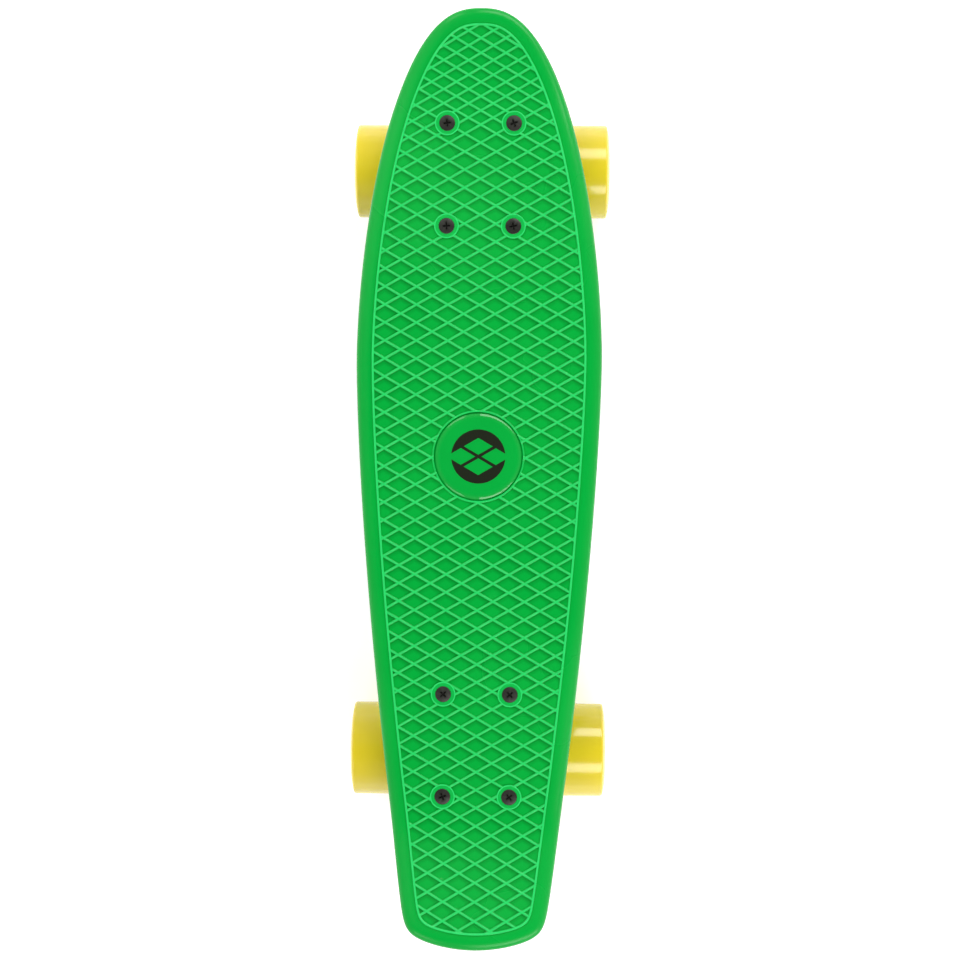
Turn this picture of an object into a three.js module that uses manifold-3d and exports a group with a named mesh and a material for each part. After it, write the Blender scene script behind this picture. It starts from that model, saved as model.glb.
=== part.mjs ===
// A small plastic cruiser skateboard, in millimetres.
// +Z is up and +Y runs to the nose. The origin is on the ground, under the middle of the board.
import * as THREE from "three";
import { mergeVertices } from "three/addons/utils/BufferGeometryUtils.js";
import Module from "manifold-3d";

const wasm = await Module();
wasm.setup();

// Clearances shared by all pieces
const seatGap = 0.3;
const overrun = 5;

// Deck outline, seen from above
const deckLength = 578;
const deckWidth = 152.5;
const widestFromNose = 216;
const tailWidth = 84.5;
const tailBowRadius = 98;
const noseSideShare = 1.72;
const noseTipShare = 2.45;
const tailTaperShare = 1.52;
const tailCornerShare = 7.3;

// Deck section and bend
const plateThickness = 4;
const edgeDepth = 11.5;
const edgeRadius = 5;
const skirtWall = 3;
const skirtDraft = 0.4;
const skirtToe = 1.2;
const cavityFillet = 1.5;
const concaveDepth = 2.5;
const noseRise = 12;
const noseRiseLength = 60;
const kickLength = 73;
const kickBend = 24;
const kickAngleDeg = 18;
const noseSteps = 10;
const middleSteps = 8;
const bendSteps = 3;
const tailSteps = 7;
const crossSteps = 3;
const edgeSteps = 3;

// Deck underside
const ribThickness = 2.4;
const ribPitch = 62;
const padWidth = 62;
const padLength = 86;

// Deck top
const borderWidth = 9.6;
const beadWidth = 1.7;
const beadRise = 1;
const beadSlant = 0.25;
const gripRise = 0.8;
const gripBed = 0.7;
const gripRoot = 1.6;
const gripLength = 24;
const gripWidth = 42.4;
const gripRibWidth = 2.8;
const bossRadius = 7.3;
const bossRise = 1.1;
const bossSides = 12;

// Badge
const badgeRadius = 26.2;
const badgeForward = 13.3;
const badgeRim = 0.9;
const badgeDome = 1.3;
const badgeRecess = 1.4;
const badgeRingWidth = 1.4;
const badgeSides = 24;
const badgeDomeSteps = 3;

// Truck bolts
const frontPatternFromNose = 101.6;
const rearPatternFromTail = 123.3;
const patternWidth = 41.3;
const patternLength = 63.5;
const boltRadius = 2.4;
const boltHeadRadius = 4.95;
const boltHeadRim = 0.5;
const boltLength = 25.4;
const boltSides = 8;
const lockNutAcross = 8;
const lockNutHeight = 5;

// Baseplate
const baseSideMargin = 6.85;
const baseEndMargin = 8.25;
const baseThickness = 6;
const baseCornerRadius = 9;
const baseCornerSteps = 2;

// Kingpin, leaning towards the middle of the board as it comes down
const kingpinLeanDeg = 22;
const kingpinInset = 4;
const kingpinRadius = 4.76;
const kingpinLength = 56;
const kingpinHeadAcross = 14.3;
const kingpinHeadHeight = 5;
const kingpinHeadDepth = 4;
const kingpinBossRadius = 11;
const kingpinBossRootRadius = 14.5;
const kingpinBossReach = 15;
const kingpinNutHeight = 8;
const nutBoreSteps = 4;
const kingpinSides = 12;

// Bushings and their washers
const bushingRadius = 9.5;
const bushingWaist = 10.7;
const bushingTip = 7.6;
const barrelHeight = 11.9;
const coneHeight = 10;
const cupWasherRadius = 10.5;
const cupWasherThickness = 1.5;
const bushingSides = 12;

// Hanger
const ringRadius = 13;
const ringThickness = 7;
const ringSeatDepth = 1.3;
const ringBoreRadius = 6.8;
const hangerWidth = 82;
const housingRadius = 8.4;
const shoulderRadius = 7;
const shoulderLength = 8;
const webHalfWidth = 8.5;
const webNeckHalfWidth = 11.5;
const wingHalfWidth = 29;
const wingStartDrop = 15;
const ringSides = 14;
const housingSides = 12;

// Pivot
const pivotInset = 16;
const pivotDrop = 12;
const pivotRadius = 5;
const pivotStubLength = 12;
const pivotNeckRadius = 7;
const pivotCupRadius = 7.4;
const pivotCupMouth = 4;
const pivotCupFloor = 1.6;
const pivotBossWall = 2.8;
const pivotSides = 12;
const pivotDomeSteps = 3;

// Axle
const axleOutset = 9.3;
const axleDrop = 49.5;
const axleRadius = 4;
const axleEnd = 76.5;
const axleSides = 8;
const speedWasherRadius = 6.2;
const speedWasherThickness = 1;
const axleNutAcross = 12.7;
const axleNutHeight = 6;

// Bearings and wheels
const bearingRadius = 11;
const bearingWidth = 7;
const bearingSides = 12;
const spacerRadius = 5.6;
const spacerLength = 10;
const spacerSides = 8;
const wheelRadius = 30;
const wheelWidth = 45;
const wheelInnerLip = 6.4;
const wheelLipRadius = 3.2;
const wheelInnerMouth = 15;
const wheelOuterMouth = 19.5;
const wheelHubBore = 9;
const wheelSides = 20;

// Finishes
const deckPlastic = { color: 0x08b845, roughness: 0.38, metalness: 0 };
const badgeResin = { color: 0x06a63f, roughness: 0.12, metalness: 0 };
const urethane = { color: 0xe8d946, roughness: 0.45, metalness: 0 };
const castAluminium = { color: 0xb4b7ba, roughness: 0.42, metalness: 1 };
const blackBolt = { color: 0x1c1c1d, roughness: 0.4, metalness: 0.8 };
const zincSteel = { color: 0xc3c6c9, roughness: 0.3, metalness: 1 };
const bearingSteel = { color: 0x9fa2a6, roughness: 0.25, metalness: 1 };
const blackUrethane = { color: 0x202022, roughness: 0.6, metalness: 0 };

// Sizes and heights that follow from the wheels, the trucks and their bolts
const baseWidth = patternWidth + 2 * baseSideMargin;
const baseLength = patternLength + 2 * baseEndMargin;
const pivotOutset = baseLength / 2 - pivotInset;
const wheelFlat = wheelRadius * Math.cos(Math.PI / wheelSides);
const mountHeight = wheelFlat + axleDrop;
const deckBottom = mountHeight + seatGap;
const deckTop = deckBottom + edgeDepth;
const halfLength = deckLength / 2;
const halfWidth = deckWidth / 2;
const widestY = halfLength - widestFromNose;
const frontPatternY = halfLength - frontPatternFromNose;
const rearPatternY = rearPatternFromTail - halfLength;
const creaseY = kickLength - halfLength;
const radian = Math.PI / 180;

// Solids: joining and cutting closed meshes
function toSolid(geometry) {
  const bare = new THREE.BufferGeometry();
  bare.setAttribute("position", geometry.getAttribute("position"));
  bare.setIndex(geometry.getIndex());
  const merged = mergeVertices(bare);
  const triVerts = [];
  const index = merged.getIndex().array;
  for (let i = 0; i < index.length; i += 3) {
    const [a, b, c] = index.slice(i, i + 3);
    if (a !== b && b !== c && c !== a) triVerts.push(a, b, c);
  }
  return new wasm.Manifold(new wasm.Mesh({
    numProp: 3,
    vertProperties: Float32Array.from(merged.getAttribute("position").array),
    triVerts: Uint32Array.from(triVerts),
  }));
}

function toGeometry(solid) {
  const mesh = solid.getMesh();
  const geometry = new THREE.BufferGeometry();
  geometry.setAttribute("position", new THREE.BufferAttribute(mesh.vertProperties, 3));
  geometry.setIndex(new THREE.BufferAttribute(mesh.triVerts, 1));
  geometry.computeVertexNormals();
  return geometry;
}

function join(geometries) {
  return toGeometry(geometries.map(toSolid).reduce((whole, piece) => whole.add(piece)));
}

function cut(geometry, cutters) {
  return toGeometry(cutters.map(toSolid).reduce((whole, piece) => whole.subtract(piece), toSolid(geometry)));
}

function common(geometry, other) {
  return toGeometry(toSolid(geometry).intersect(toSolid(other)));
}

// Shapes: turned pieces about +Z, prisms and boxes
function signedArea(points) {
  return points.reduce((sum, [x, y], i) => {
    const [nextX, nextY] = points[(i + 1) % points.length];
    return sum + x * nextY - nextX * y;
  }, 0) / 2;
}

function turned(profile, sides) {
  const ordered = signedArea(profile) > 0 ? [...profile] : [...profile].reverse();
  const start = ordered.findIndex(([radius], i) => radius === 0 && ordered.at(i - 1)[0] === 0);
  const loop = start < 0 ? [...ordered, ordered[0]] : [...ordered.slice(start), ...ordered.slice(0, start)];
  const points = loop.map(([radius, height]) => new THREE.Vector2(radius, height));
  return new THREE.LatheGeometry(points, sides, Math.PI / sides).rotateX(Math.PI / 2);
}

function disc(radius, low, high, sides) {
  return turned([[0, low], [radius, low], [radius, high], [0, high]], sides);
}

function ring(inner, outer, low, high, sides) {
  return turned([[inner, low], [outer, low], [outer, high], [inner, high]], sides);
}

function box(minX, maxX, minY, maxY, minZ, maxZ) {
  return new THREE.BoxGeometry(maxX - minX, maxY - minY, maxZ - minZ)
    .translate((minX + maxX) / 2, (minY + maxY) / 2, (minZ + maxZ) / 2);
}

function hexagon(across) {
  const corner = across / 2 / Math.cos(Math.PI / 6);
  const shape = new THREE.Shape();
  for (let i = 0; i < 6; i++) {
    const angle = (i + 0.5) * Math.PI / 3;
    const point = [corner * Math.cos(angle), corner * Math.sin(angle)];
    if (i === 0) shape.moveTo(...point);
    else shape.lineTo(...point);
  }
  return shape.closePath();
}

function hexNut(across, bore, height) {
  const shape = hexagon(across);
  const hole = new THREE.Path();
  hole.absarc(0, 0, bore, 0, 2 * Math.PI, true);
  shape.holes.push(hole);
  return new THREE.ExtrudeGeometry(shape, { depth: height, bevelEnabled: false, curveSegments: nutBoreSteps });
}

// A bore drawn as a polygon, with its flats clear of the shaft by the seat gap
function boreFor(radius, sides) {
  return (radius + seatGap) / Math.cos(Math.PI / sides);
}

// Deck outline: half its width at each place along the board
function noseWidthAt(y) {
  const along = Math.min(1, (y - widestY) / (halfLength - widestY));
  return halfWidth * (1 - along ** noseSideShare) ** (1 / noseTipShare);
}

// Towards the tail a tapering side meets the bow of the end in a round corner
function tailWidthAt(y, inset) {
  const along = Math.min(1, (widestY - y) / (widestY + halfLength));
  const side = halfWidth - (deckWidth - tailWidth) / 2 * along ** tailTaperShare - inset;
  const bowRadius = tailBowRadius - inset;
  const fromTail = Math.max(0, y + halfLength - inset);
  if (fromTail >= bowRadius) return side;
  const bow = Math.sqrt(2 * bowRadius * fromTail - fromTail ** 2);
  if (bow === 0) return 0;
  return (side ** -tailCornerShare + bow ** -tailCornerShare) ** (-1 / tailCornerShare);
}

function halfWidthAt(y) {
  return y >= widestY ? noseWidthAt(y) : tailWidthAt(y, 0);
}

// Deck bend: nose rise, kicktail and the shallow dish between the trucks
function dishAt(y) {
  const low = rearPatternY + padLength / 2;
  const high = frontPatternY - padLength / 2;
  if (y <= low || y >= high) return 0;
  const across = 2 * (y - low) / (high - low) - 1;
  return concaveDepth * (1 - across ** 2) ** 2;
}

function kickAt(y) {
  const slope = Math.tan(kickAngleDeg * radian);
  const past = creaseY + kickBend / 2 - y;
  if (past <= 0) return 0;
  if (past < kickBend) return slope * past ** 2 / (2 * kickBend);
  return slope * (past - kickBend / 2);
}

function noseAt(y) {
  const past = Math.max(0, y - halfLength + noseRiseLength);
  return noseRise * (past / noseRiseLength) ** 2;
}

function bendAt(x, y) {
  const share = Math.min(1, Math.abs(x) / Math.max(halfWidthAt(y), seatGap));
  return kickAt(y) + noseAt(y) - dishAt(y) * (1 - share ** 2);
}

// Places along the board where the deck has a row of points, from nose to tail
function deckStations() {
  const noseZone = 2 * noseRiseLength;
  const bendTop = creaseY + kickBend / 2;
  const bendEnd = creaseY - kickBend / 2;
  const stations = [];
  for (let i = 0; i < noseSteps; i++) stations.push(halfLength - noseZone * (i / noseSteps) ** 2);
  const middleTop = halfLength - noseZone;
  for (let i = 0; i < middleSteps; i++) stations.push(middleTop + (bendTop - middleTop) * i / middleSteps);
  for (let i = 0; i < bendSteps; i++) stations.push(bendTop + (bendEnd - bendTop) * i / bendSteps);
  for (let i = tailSteps; i >= 0; i--) stations.push((bendEnd + halfLength) * (i / tailSteps) ** 2 - halfLength);
  return stations;
}

const stations = deckStations();

// Point of the outline moved inwards: square to the curve at the nose, row by row at the tail
function insetPoint(y, inset) {
  if (y < widestY) {
    const tailZone = creaseY - kickBend / 2 + halfLength;
    const rowY = y + inset * Math.max(0, 1 - (y + halfLength) / tailZone);
    return [tailWidthAt(rowY, inset), rowY];
  }
  if (y === halfLength) return [0, y - inset];
  const step = deckLength / 2 ** 14;
  const rise = noseWidthAt(y - step) - noseWidthAt(y + step);
  const normal = new THREE.Vector2(2 * step, rise).normalize();
  return [noseWidthAt(y) - normal.x * inset, y - normal.y * inset];
}

// Points of one layer: the right side from nose to tail, then the left side back
function deckRing({ inset, height }) {
  const right = stations.map((y) => insetPoint(y, inset));
  const left = right.slice(1, -1).reverse().map(([x, y]) => [-x, y]);
  return [...right, ...left].map(([x, y]) => [x, y, deckBottom + height + bendAt(x, y)]);
}

// Rows of points across a layer, for its flat cap
function capFaces(layer, ringStart, facingUp, columns, positions, faces) {
  const last = stations.length - 1;
  const rows = [];
  for (let i = 1; i < last; i++) {
    const rightIndex = ringStart + i;
    const leftIndex = ringStart + 2 * last - i;
    const [x, y] = positions[rightIndex];
    const row = [leftIndex];
    for (let c = 1; c < columns; c++) {
      const inner = x * (2 * c / columns - 1);
      row.push(positions.length);
      positions.push([inner, y, deckBottom + layer.height + bendAt(inner, y)]);
    }
    rows.push([...row, rightIndex]);
  }
  const add = (a, b, c) => faces.push(facingUp ? [a, b, c] : [a, c, b]);
  for (let c = 0; c < columns; c++) {
    add(ringStart, rows[0][c], rows[0][c + 1]);
    add(rows.at(-1)[c], ringStart + last, rows.at(-1)[c + 1]);
    for (let i = 0; i + 1 < rows.length; i++) {
      add(rows[i][c], rows[i + 1][c], rows[i + 1][c + 1]);
      add(rows[i][c], rows[i + 1][c + 1], rows[i][c + 1]);
    }
  }
}

// A solid that follows the outline and the bend: layers run from the top down the outside
function deckLoft(layers) {
  const ringSize = 2 * stations.length - 2;
  const positions = layers.flatMap(deckRing);
  const faces = [];
  for (let k = 0; k + 1 < layers.length; k++) {
    const upper = k * ringSize;
    const lower = upper + ringSize;
    for (let i = 0; i < ringSize; i++) {
      const next = (i + 1) % ringSize;
      faces.push([upper + i, upper + next, lower + i], [upper + next, lower + next, lower + i]);
    }
  }
  capFaces(layers[0], 0, true, crossSteps, positions, faces);
  capFaces(layers.at(-1), (layers.length - 1) * ringSize, false, 1, positions, faces);
  const geometry = new THREE.BufferGeometry();
  geometry.setAttribute("position", new THREE.Float32BufferAttribute(positions.flat(), 3));
  geometry.setIndex(faces.flat());
  return geometry;
}

function deckBlank() {
  const beadInset = borderWidth + beadWidth;
  const layers = [
    { inset: beadInset + beadSlant, height: edgeDepth - gripBed },
    { inset: beadInset - beadSlant, height: edgeDepth + beadRise },
    { inset: borderWidth + beadSlant, height: edgeDepth + beadRise },
    { inset: borderWidth - beadSlant, height: edgeDepth },
  ];
  for (let i = 0; i <= edgeSteps; i++) {
    const angle = i / edgeSteps * Math.PI / 2;
    const inset = edgeRadius * (1 - Math.sin(angle));
    layers.push({ inset, height: edgeDepth - edgeRadius * (1 - Math.cos(angle)) });
  }
  layers.push({ inset: 0, height: skirtToe }, { inset: skirtToe, height: 0 });
  return deckLoft(layers);
}

// Underside: one tray, less the truck pads, the two spars and the cross ribs
function underTray() {
  const roof = edgeDepth - plateThickness;
  return deckLoft([
    { inset: skirtWall + skirtDraft + cavityFillet, height: roof },
    { inset: skirtWall + skirtDraft, height: roof - cavityFillet },
    { inset: skirtWall, height: -overrun },
  ]);
}

function truckPad(patternY) {
  return box(-padWidth / 2, padWidth / 2, patternY - padLength / 2, patternY + padLength / 2, 0, 2 * deckTop);
}

function deckRibs() {
  const ribs = [-1, 1].map((side) => box(
    side * ribPitch / 2 - ribThickness / 2, side * ribPitch / 2 + ribThickness / 2,
    -halfLength, halfLength, 0, 2 * deckTop));
  const rows = Math.floor(halfLength / ribPitch);
  for (let row = -rows; row <= rows; row++) {
    const y = row * ribPitch;
    ribs.push(box(-halfWidth, halfWidth, y - ribThickness / 2, y + ribThickness / 2, 0, 2 * deckTop));
  }
  return ribs;
}

// Grip field: crossed ridges round sunk diamonds, one cell at each crossing of the two rows
function gripSheet() {
  const centreToRidge = gripLength * gripWidth / (2 * Math.hypot(gripLength, gripWidth));
  const floorShare = 1 - gripRibWidth / 2 / centreToRidge;
  const reachX = Math.ceil(deckWidth / gripWidth);
  const reachY = Math.ceil(deckLength / gripLength);
  const positions = [];
  const faces = [];
  const places = new Map();
  const addPoint = (x, y, height) => positions.push([x, y, deckTop + height + bendAt(x, y)]) - 1;
  const ridgePoint = (across, along, height) => {
    const key = `${across} ${along} ${height}`;
    if (!places.has(key)) places.set(key, addPoint(across * gripWidth / 2, along * gripLength / 2, height));
    return places.get(key);
  };
  const sides = new Map();
  for (let across = -reachX; across <= reachX; across++) {
    for (let along = -reachY; along <= reachY; along++) {
      if ((across + along) % 2 === 0) continue;
      const corners = [[across, along - 1], [across + 1, along], [across, along + 1], [across - 1, along]];
      const ridge = corners.map(([i, j]) => ridgePoint(i, j, gripRise));
      const under = corners.map(([i, j]) => ridgePoint(i, j, -gripRoot));
      const floor = corners.map(([i, j]) => addPoint(
        (across + (i - across) * floorShare) * gripWidth / 2,
        (along + (j - along) * floorShare) * gripLength / 2, 0));
      for (let k = 0; k < corners.length; k++) {
        const next = (k + 1) % corners.length;
        faces.push([ridge[k], ridge[next], floor[next]], [ridge[k], floor[next], floor[k]]);
        const back = `${corners[next]} ${corners[k]}`;
        if (!sides.delete(back)) {
          sides.set(`${corners[k]} ${corners[next]}`, [ridge[k], under[k], under[next], ridge[next]]);
        }
      }
      faces.push([floor[0], floor[1], floor[2]], [floor[0], floor[2], floor[3]]);
      faces.push([under[0], under[2], under[1]], [under[0], under[3], under[2]]);
    }
  }
  for (const [a, b, c, d] of sides.values()) faces.push([a, b, c], [a, c, d]);
  const geometry = new THREE.BufferGeometry();
  geometry.setAttribute("position", new THREE.Float32BufferAttribute(positions.flat(), 3));
  geometry.setIndex(faces.flat());
  return geometry;
}

function gripField() {
  const inset = borderWidth + beadWidth / 2;
  const span = deckLoft([{ inset, height: edgeDepth + overrun }, { inset, height: edgeDepth - overrun }]);
  return common(gripSheet(), span);
}

function boltPlaces(patternY) {
  const places = [];
  for (const row of [1, -1]) {
    for (const side of [-1, 1]) {
      places.push([side * patternWidth / 2, patternY + row * patternLength / 2]);
    }
  }
  return places;
}

const allBoltPlaces = [...boltPlaces(frontPatternY), ...boltPlaces(rearPatternY)];
const boltHeadTop = deckTop + bossRise;

function boltHoleCutter() {
  const holeRadius = boreFor(boltRadius, boltSides);
  const mouthRadius = boreFor(boltHeadRadius, boltSides);
  const coneTop = boltHeadTop - boltHeadRim - seatGap;
  const coneEnd = coneTop - (mouthRadius - holeRadius);
  return turned([
    [0, deckBottom - overrun], [holeRadius, deckBottom - overrun], [holeRadius, coneEnd],
    [mouthRadius, coneTop], [mouthRadius, deckTop + overrun], [0, deckTop + overrun],
  ], boltSides);
}

const badgeSurface = deckTop + bendAt(0, badgeForward);
const badgeFloor = badgeSurface - badgeRecess;

function badgeSeatCutter() {
  return disc(boreFor(badgeRadius, badgeSides), badgeFloor, badgeSurface + overrun, badgeSides)
    .translate(0, badgeForward, 0);
}

function badgeRing() {
  const inner = boreFor(badgeRadius, badgeSides);
  return ring(inner, inner + badgeRingWidth, badgeFloor, badgeSurface + beadRise, badgeSides)
    .translate(0, badgeForward, 0);
}

function deckGeometry() {
  const tray = cut(underTray(), [truckPad(frontPatternY), truckPad(rearPatternY), ...deckRibs()]);
  const shell = cut(deckBlank(), [tray]);
  const bosses = allBoltPlaces.map(([x, y]) => disc(
    bossRadius, deckTop - gripRoot, boltHeadTop, bossSides).translate(x, y, 0));
  const raised = join([shell, gripField(), ...bosses, badgeRing()]);
  const holes = allBoltPlaces.map(([x, y]) => boltHoleCutter().translate(x, y, 0));
  return cut(raised, [...holes, badgeSeatCutter()]);
}

// Badge: a low dome that drops into its ring
function badgeGeometry() {
  const low = badgeFloor + seatGap;
  const profile = [[0, low], [badgeRadius, low], [badgeRadius, low + badgeRim]];
  for (let i = 1; i <= badgeDomeSteps; i++) {
    const share = i / badgeDomeSteps;
    profile.push([badgeRadius * (1 - share), low + badgeRim + badgeDome * (1 - (1 - share) ** 2)]);
  }
  return turned(profile, badgeSides).translate(0, badgeForward, 0);
}

// Truck frame: +Y points away from the middle of the board and the deck rests on z = 0
const lean = kingpinLeanDeg * radian;
const kingpinStart = new THREE.Vector3(0, -kingpinInset, 0);
const kingpinWay = new THREE.Vector3(0, -Math.sin(lean), -Math.cos(lean));
const kingpinSide = new THREE.Vector3(0, Math.cos(lean), -Math.sin(lean));

// Places along the kingpin, measured from the face that the deck rests on
const topWasherStart = kingpinBossReach + seatGap;
const barrelStart = topWasherStart + cupWasherThickness + seatGap;
const ringStart = barrelStart + barrelHeight + seatGap - ringSeatDepth;
const ringEnd = ringStart + ringThickness;
const coneStart = ringEnd - ringSeatDepth + seatGap;
const lowWasherStart = coneStart + coneHeight + seatGap;
const kingpinNutStart = lowWasherStart + cupWasherThickness + seatGap;
const ringCentre = kingpinStart.clone().addScaledVector(kingpinWay, (ringStart + ringEnd) / 2);

// Pivot line: from the middle of the kingpin ring to the ball of the pivot stub
const pivotPoint = new THREE.Vector3(0, pivotOutset, -pivotDrop);
const pivotReach = pivotPoint.distanceTo(ringCentre);
const pivotWay = pivotPoint.clone().sub(ringCentre).normalize();
const pivotSide = new THREE.Vector3(0, -pivotWay.z, pivotWay.y);
const cupHollow = boreFor(pivotRadius, pivotSides);
const cupEnd = pivotReach + cupHollow + pivotCupFloor;

function along(geometry, start, way) {
  const turn = new THREE.Quaternion().setFromUnitVectors(new THREE.Vector3(0, 0, 1), way);
  return geometry.applyQuaternion(turn).translate(start.x, start.y, start.z);
}

const onKingpin = (geometry) => along(geometry, kingpinStart, kingpinWay);
const onPivot = (geometry) => along(geometry, ringCentre, pivotWay);
const acrossBoard = (geometry) => geometry.rotateY(Math.PI / 2);
const onAxle = (geometry) => acrossBoard(geometry).translate(0, axleOutset, -axleDrop);

// Prism across the board from a side view, given as places in the truck's y and z
function sidePrism(places, halfSpan) {
  const shape = new THREE.Shape(places.map(({ y, z }) => new THREE.Vector2(y, z)));
  const basis = new THREE.Matrix4().makeBasis(
    new THREE.Vector3(0, 1, 0), new THREE.Vector3(0, 0, 1), new THREE.Vector3(1, 0, 0));
  return new THREE.ExtrudeGeometry(shape, { depth: 2 * halfSpan, bevelEnabled: false })
    .applyMatrix4(basis).translate(-halfSpan, 0, 0);
}

// Place beside the kingpin or the pivot line: so far along it, and so far to its side
const byKingpin = (reach, offset) => kingpinStart.clone()
  .addScaledVector(kingpinWay, reach).addScaledVector(kingpinSide, offset);
const byPivot = (reach, offset) => ringCentre.clone()
  .addScaledVector(pivotWay, reach).addScaledVector(pivotSide, offset);
const byAxle = (angleDeg, radius) => new THREE.Vector3(
  0, axleOutset + radius * Math.cos(angleDeg * radian), radius * Math.sin(angleDeg * radian) - axleDrop);

// Baseplate: a rounded plate with the kingpin boss and the pivot socket
function basePlate() {
  const reachX = baseWidth / 2 - baseCornerRadius;
  const reachY = baseLength / 2 - baseCornerRadius;
  const shape = new THREE.Shape();
  shape.absarc(reachX, reachY, baseCornerRadius, 0, Math.PI / 2);
  shape.absarc(-reachX, reachY, baseCornerRadius, Math.PI / 2, Math.PI);
  shape.absarc(-reachX, -reachY, baseCornerRadius, Math.PI, 1.5 * Math.PI);
  shape.absarc(reachX, -reachY, baseCornerRadius, 1.5 * Math.PI, 2 * Math.PI);
  const options = { depth: baseThickness, bevelEnabled: false, curveSegments: baseCornerSteps };
  return new THREE.ExtrudeGeometry(shape, options).translate(0, 0, -baseThickness);
}

function kingpinBoss() {
  return onKingpin(turned([
    [0, 0], [kingpinBossRootRadius, 0], [kingpinBossRootRadius, baseThickness / 2],
    [kingpinBossRadius, kingpinBossReach], [0, kingpinBossReach],
  ], ringSides));
}

function pivotBoss() {
  const radius = pivotCupRadius + pivotBossWall;
  const low = pivotReach - pivotCupMouth;
  const high = cupEnd + pivotBossWall;
  const roof = pivotDrop + radius;
  const tube = onPivot(disc(radius, low, high, ringSides));
  const hump = sidePrism([
    byPivot(low, 0), byPivot(high, 0), byPivot(high, roof), byPivot(low, roof),
  ], radius);
  return [tube, hump];
}

function baseplateGeometry() {
  const body = join([basePlate(), kingpinBoss(), ...pivotBoss()]);
  const above = box(-baseWidth, baseWidth, -baseLength, baseLength, 0, 2 * axleDrop);
  const headSeat = boreFor(kingpinHeadAcross / 2 / Math.cos(Math.PI / 6), ringSides);
  const headFloor = kingpinHeadDepth + kingpinHeadHeight + seatGap;
  const cutters = [
    above,
    onKingpin(disc(headSeat, -overrun, headFloor, ringSides)),
    onKingpin(disc(boreFor(kingpinRadius, kingpinSides), 0, kingpinLength, kingpinSides)),
    onPivot(disc(boreFor(pivotCupRadius, pivotSides), 0, cupEnd + seatGap, pivotSides)),
  ];
  for (const [x, y] of boltPlaces(0)) {
    const hole = boreFor(boltRadius, boltSides);
    cutters.push(disc(hole, -2 * baseThickness, overrun, boltSides).translate(x, y, 0));
  }
  return cut(body, cutters);
}

function kingpinGeometry() {
  const headCorner = kingpinHeadAcross / 2 / Math.cos(Math.PI / 6);
  const head = disc(headCorner, kingpinHeadDepth, kingpinHeadDepth + kingpinHeadHeight, 6);
  const shank = disc(kingpinRadius, kingpinHeadDepth + kingpinHeadHeight / 2, kingpinLength, kingpinSides);
  return onKingpin(join([head, shank]));
}

const kingpinBore = boreFor(kingpinRadius, bushingSides);

function kingpinNutGeometry() {
  const bore = boreFor(kingpinRadius, boltSides);
  return onKingpin(hexNut(kingpinHeadAcross, bore, kingpinNutHeight).translate(0, 0, kingpinNutStart));
}

function cupWasherGeometry(start) {
  return onKingpin(ring(kingpinBore, cupWasherRadius, start, start + cupWasherThickness, bushingSides));
}

function barrelGeometry() {
  const end = barrelStart + barrelHeight;
  return onKingpin(turned([
    [kingpinBore, barrelStart], [bushingRadius, barrelStart], [bushingWaist, (barrelStart + end) / 2],
    [bushingRadius, end], [kingpinBore, end],
  ], bushingSides));
}

function coneGeometry() {
  const end = coneStart + coneHeight;
  return onKingpin(turned([
    [kingpinBore, coneStart], [bushingRadius, coneStart], [bushingRadius, coneStart + ringSeatDepth],
    [bushingTip, end], [kingpinBore, end],
  ], bushingSides));
}

// Pivot cup: a soft socket with a round floor
function pivotDome(radius, start) {
  const points = [];
  for (let i = 0; i <= pivotDomeSteps; i++) {
    const angle = i / pivotDomeSteps * Math.PI / 2;
    const last = i === pivotDomeSteps;
    points.push([last ? 0 : radius * Math.cos(angle), start + radius * Math.sin(angle)]);
  }
  return points;
}

function pivotCupGeometry() {
  const mouth = pivotReach - pivotCupMouth;
  return onPivot(turned([
    [pivotCupRadius, cupEnd], [pivotCupRadius, mouth], [cupHollow, mouth],
    ...pivotDome(cupHollow, pivotReach), [0, cupEnd],
  ], pivotSides));
}

// Hanger: kingpin ring, pivot stub, web with wings and the axle housing
function axleHousing() {
  const shoulder = hangerWidth / 2;
  const taperStart = shoulder - shoulderLength;
  return onAxle(turned([
    [0, -shoulder], [shoulderRadius, -shoulder], [housingRadius, -taperStart],
    [housingRadius, taperStart], [shoulderRadius, shoulder], [0, shoulder],
  ], housingSides));
}

function pivotStub() {
  const root = pivotReach - pivotStubLength;
  return onPivot(turned([
    [0, root - pivotNeckRadius], [pivotNeckRadius, root - pivotNeckRadius], [pivotNeckRadius, root],
    [pivotRadius, pivotReach - pivotCupMouth - seatGap], ...pivotDome(pivotRadius, pivotReach),
  ], pivotSides));
}

// Angles round the axle where the web's outline leaves the housing
const webFrontDeg = 20;
const webBottomDeg = -75;
const webRearDeg = 195;

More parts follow.
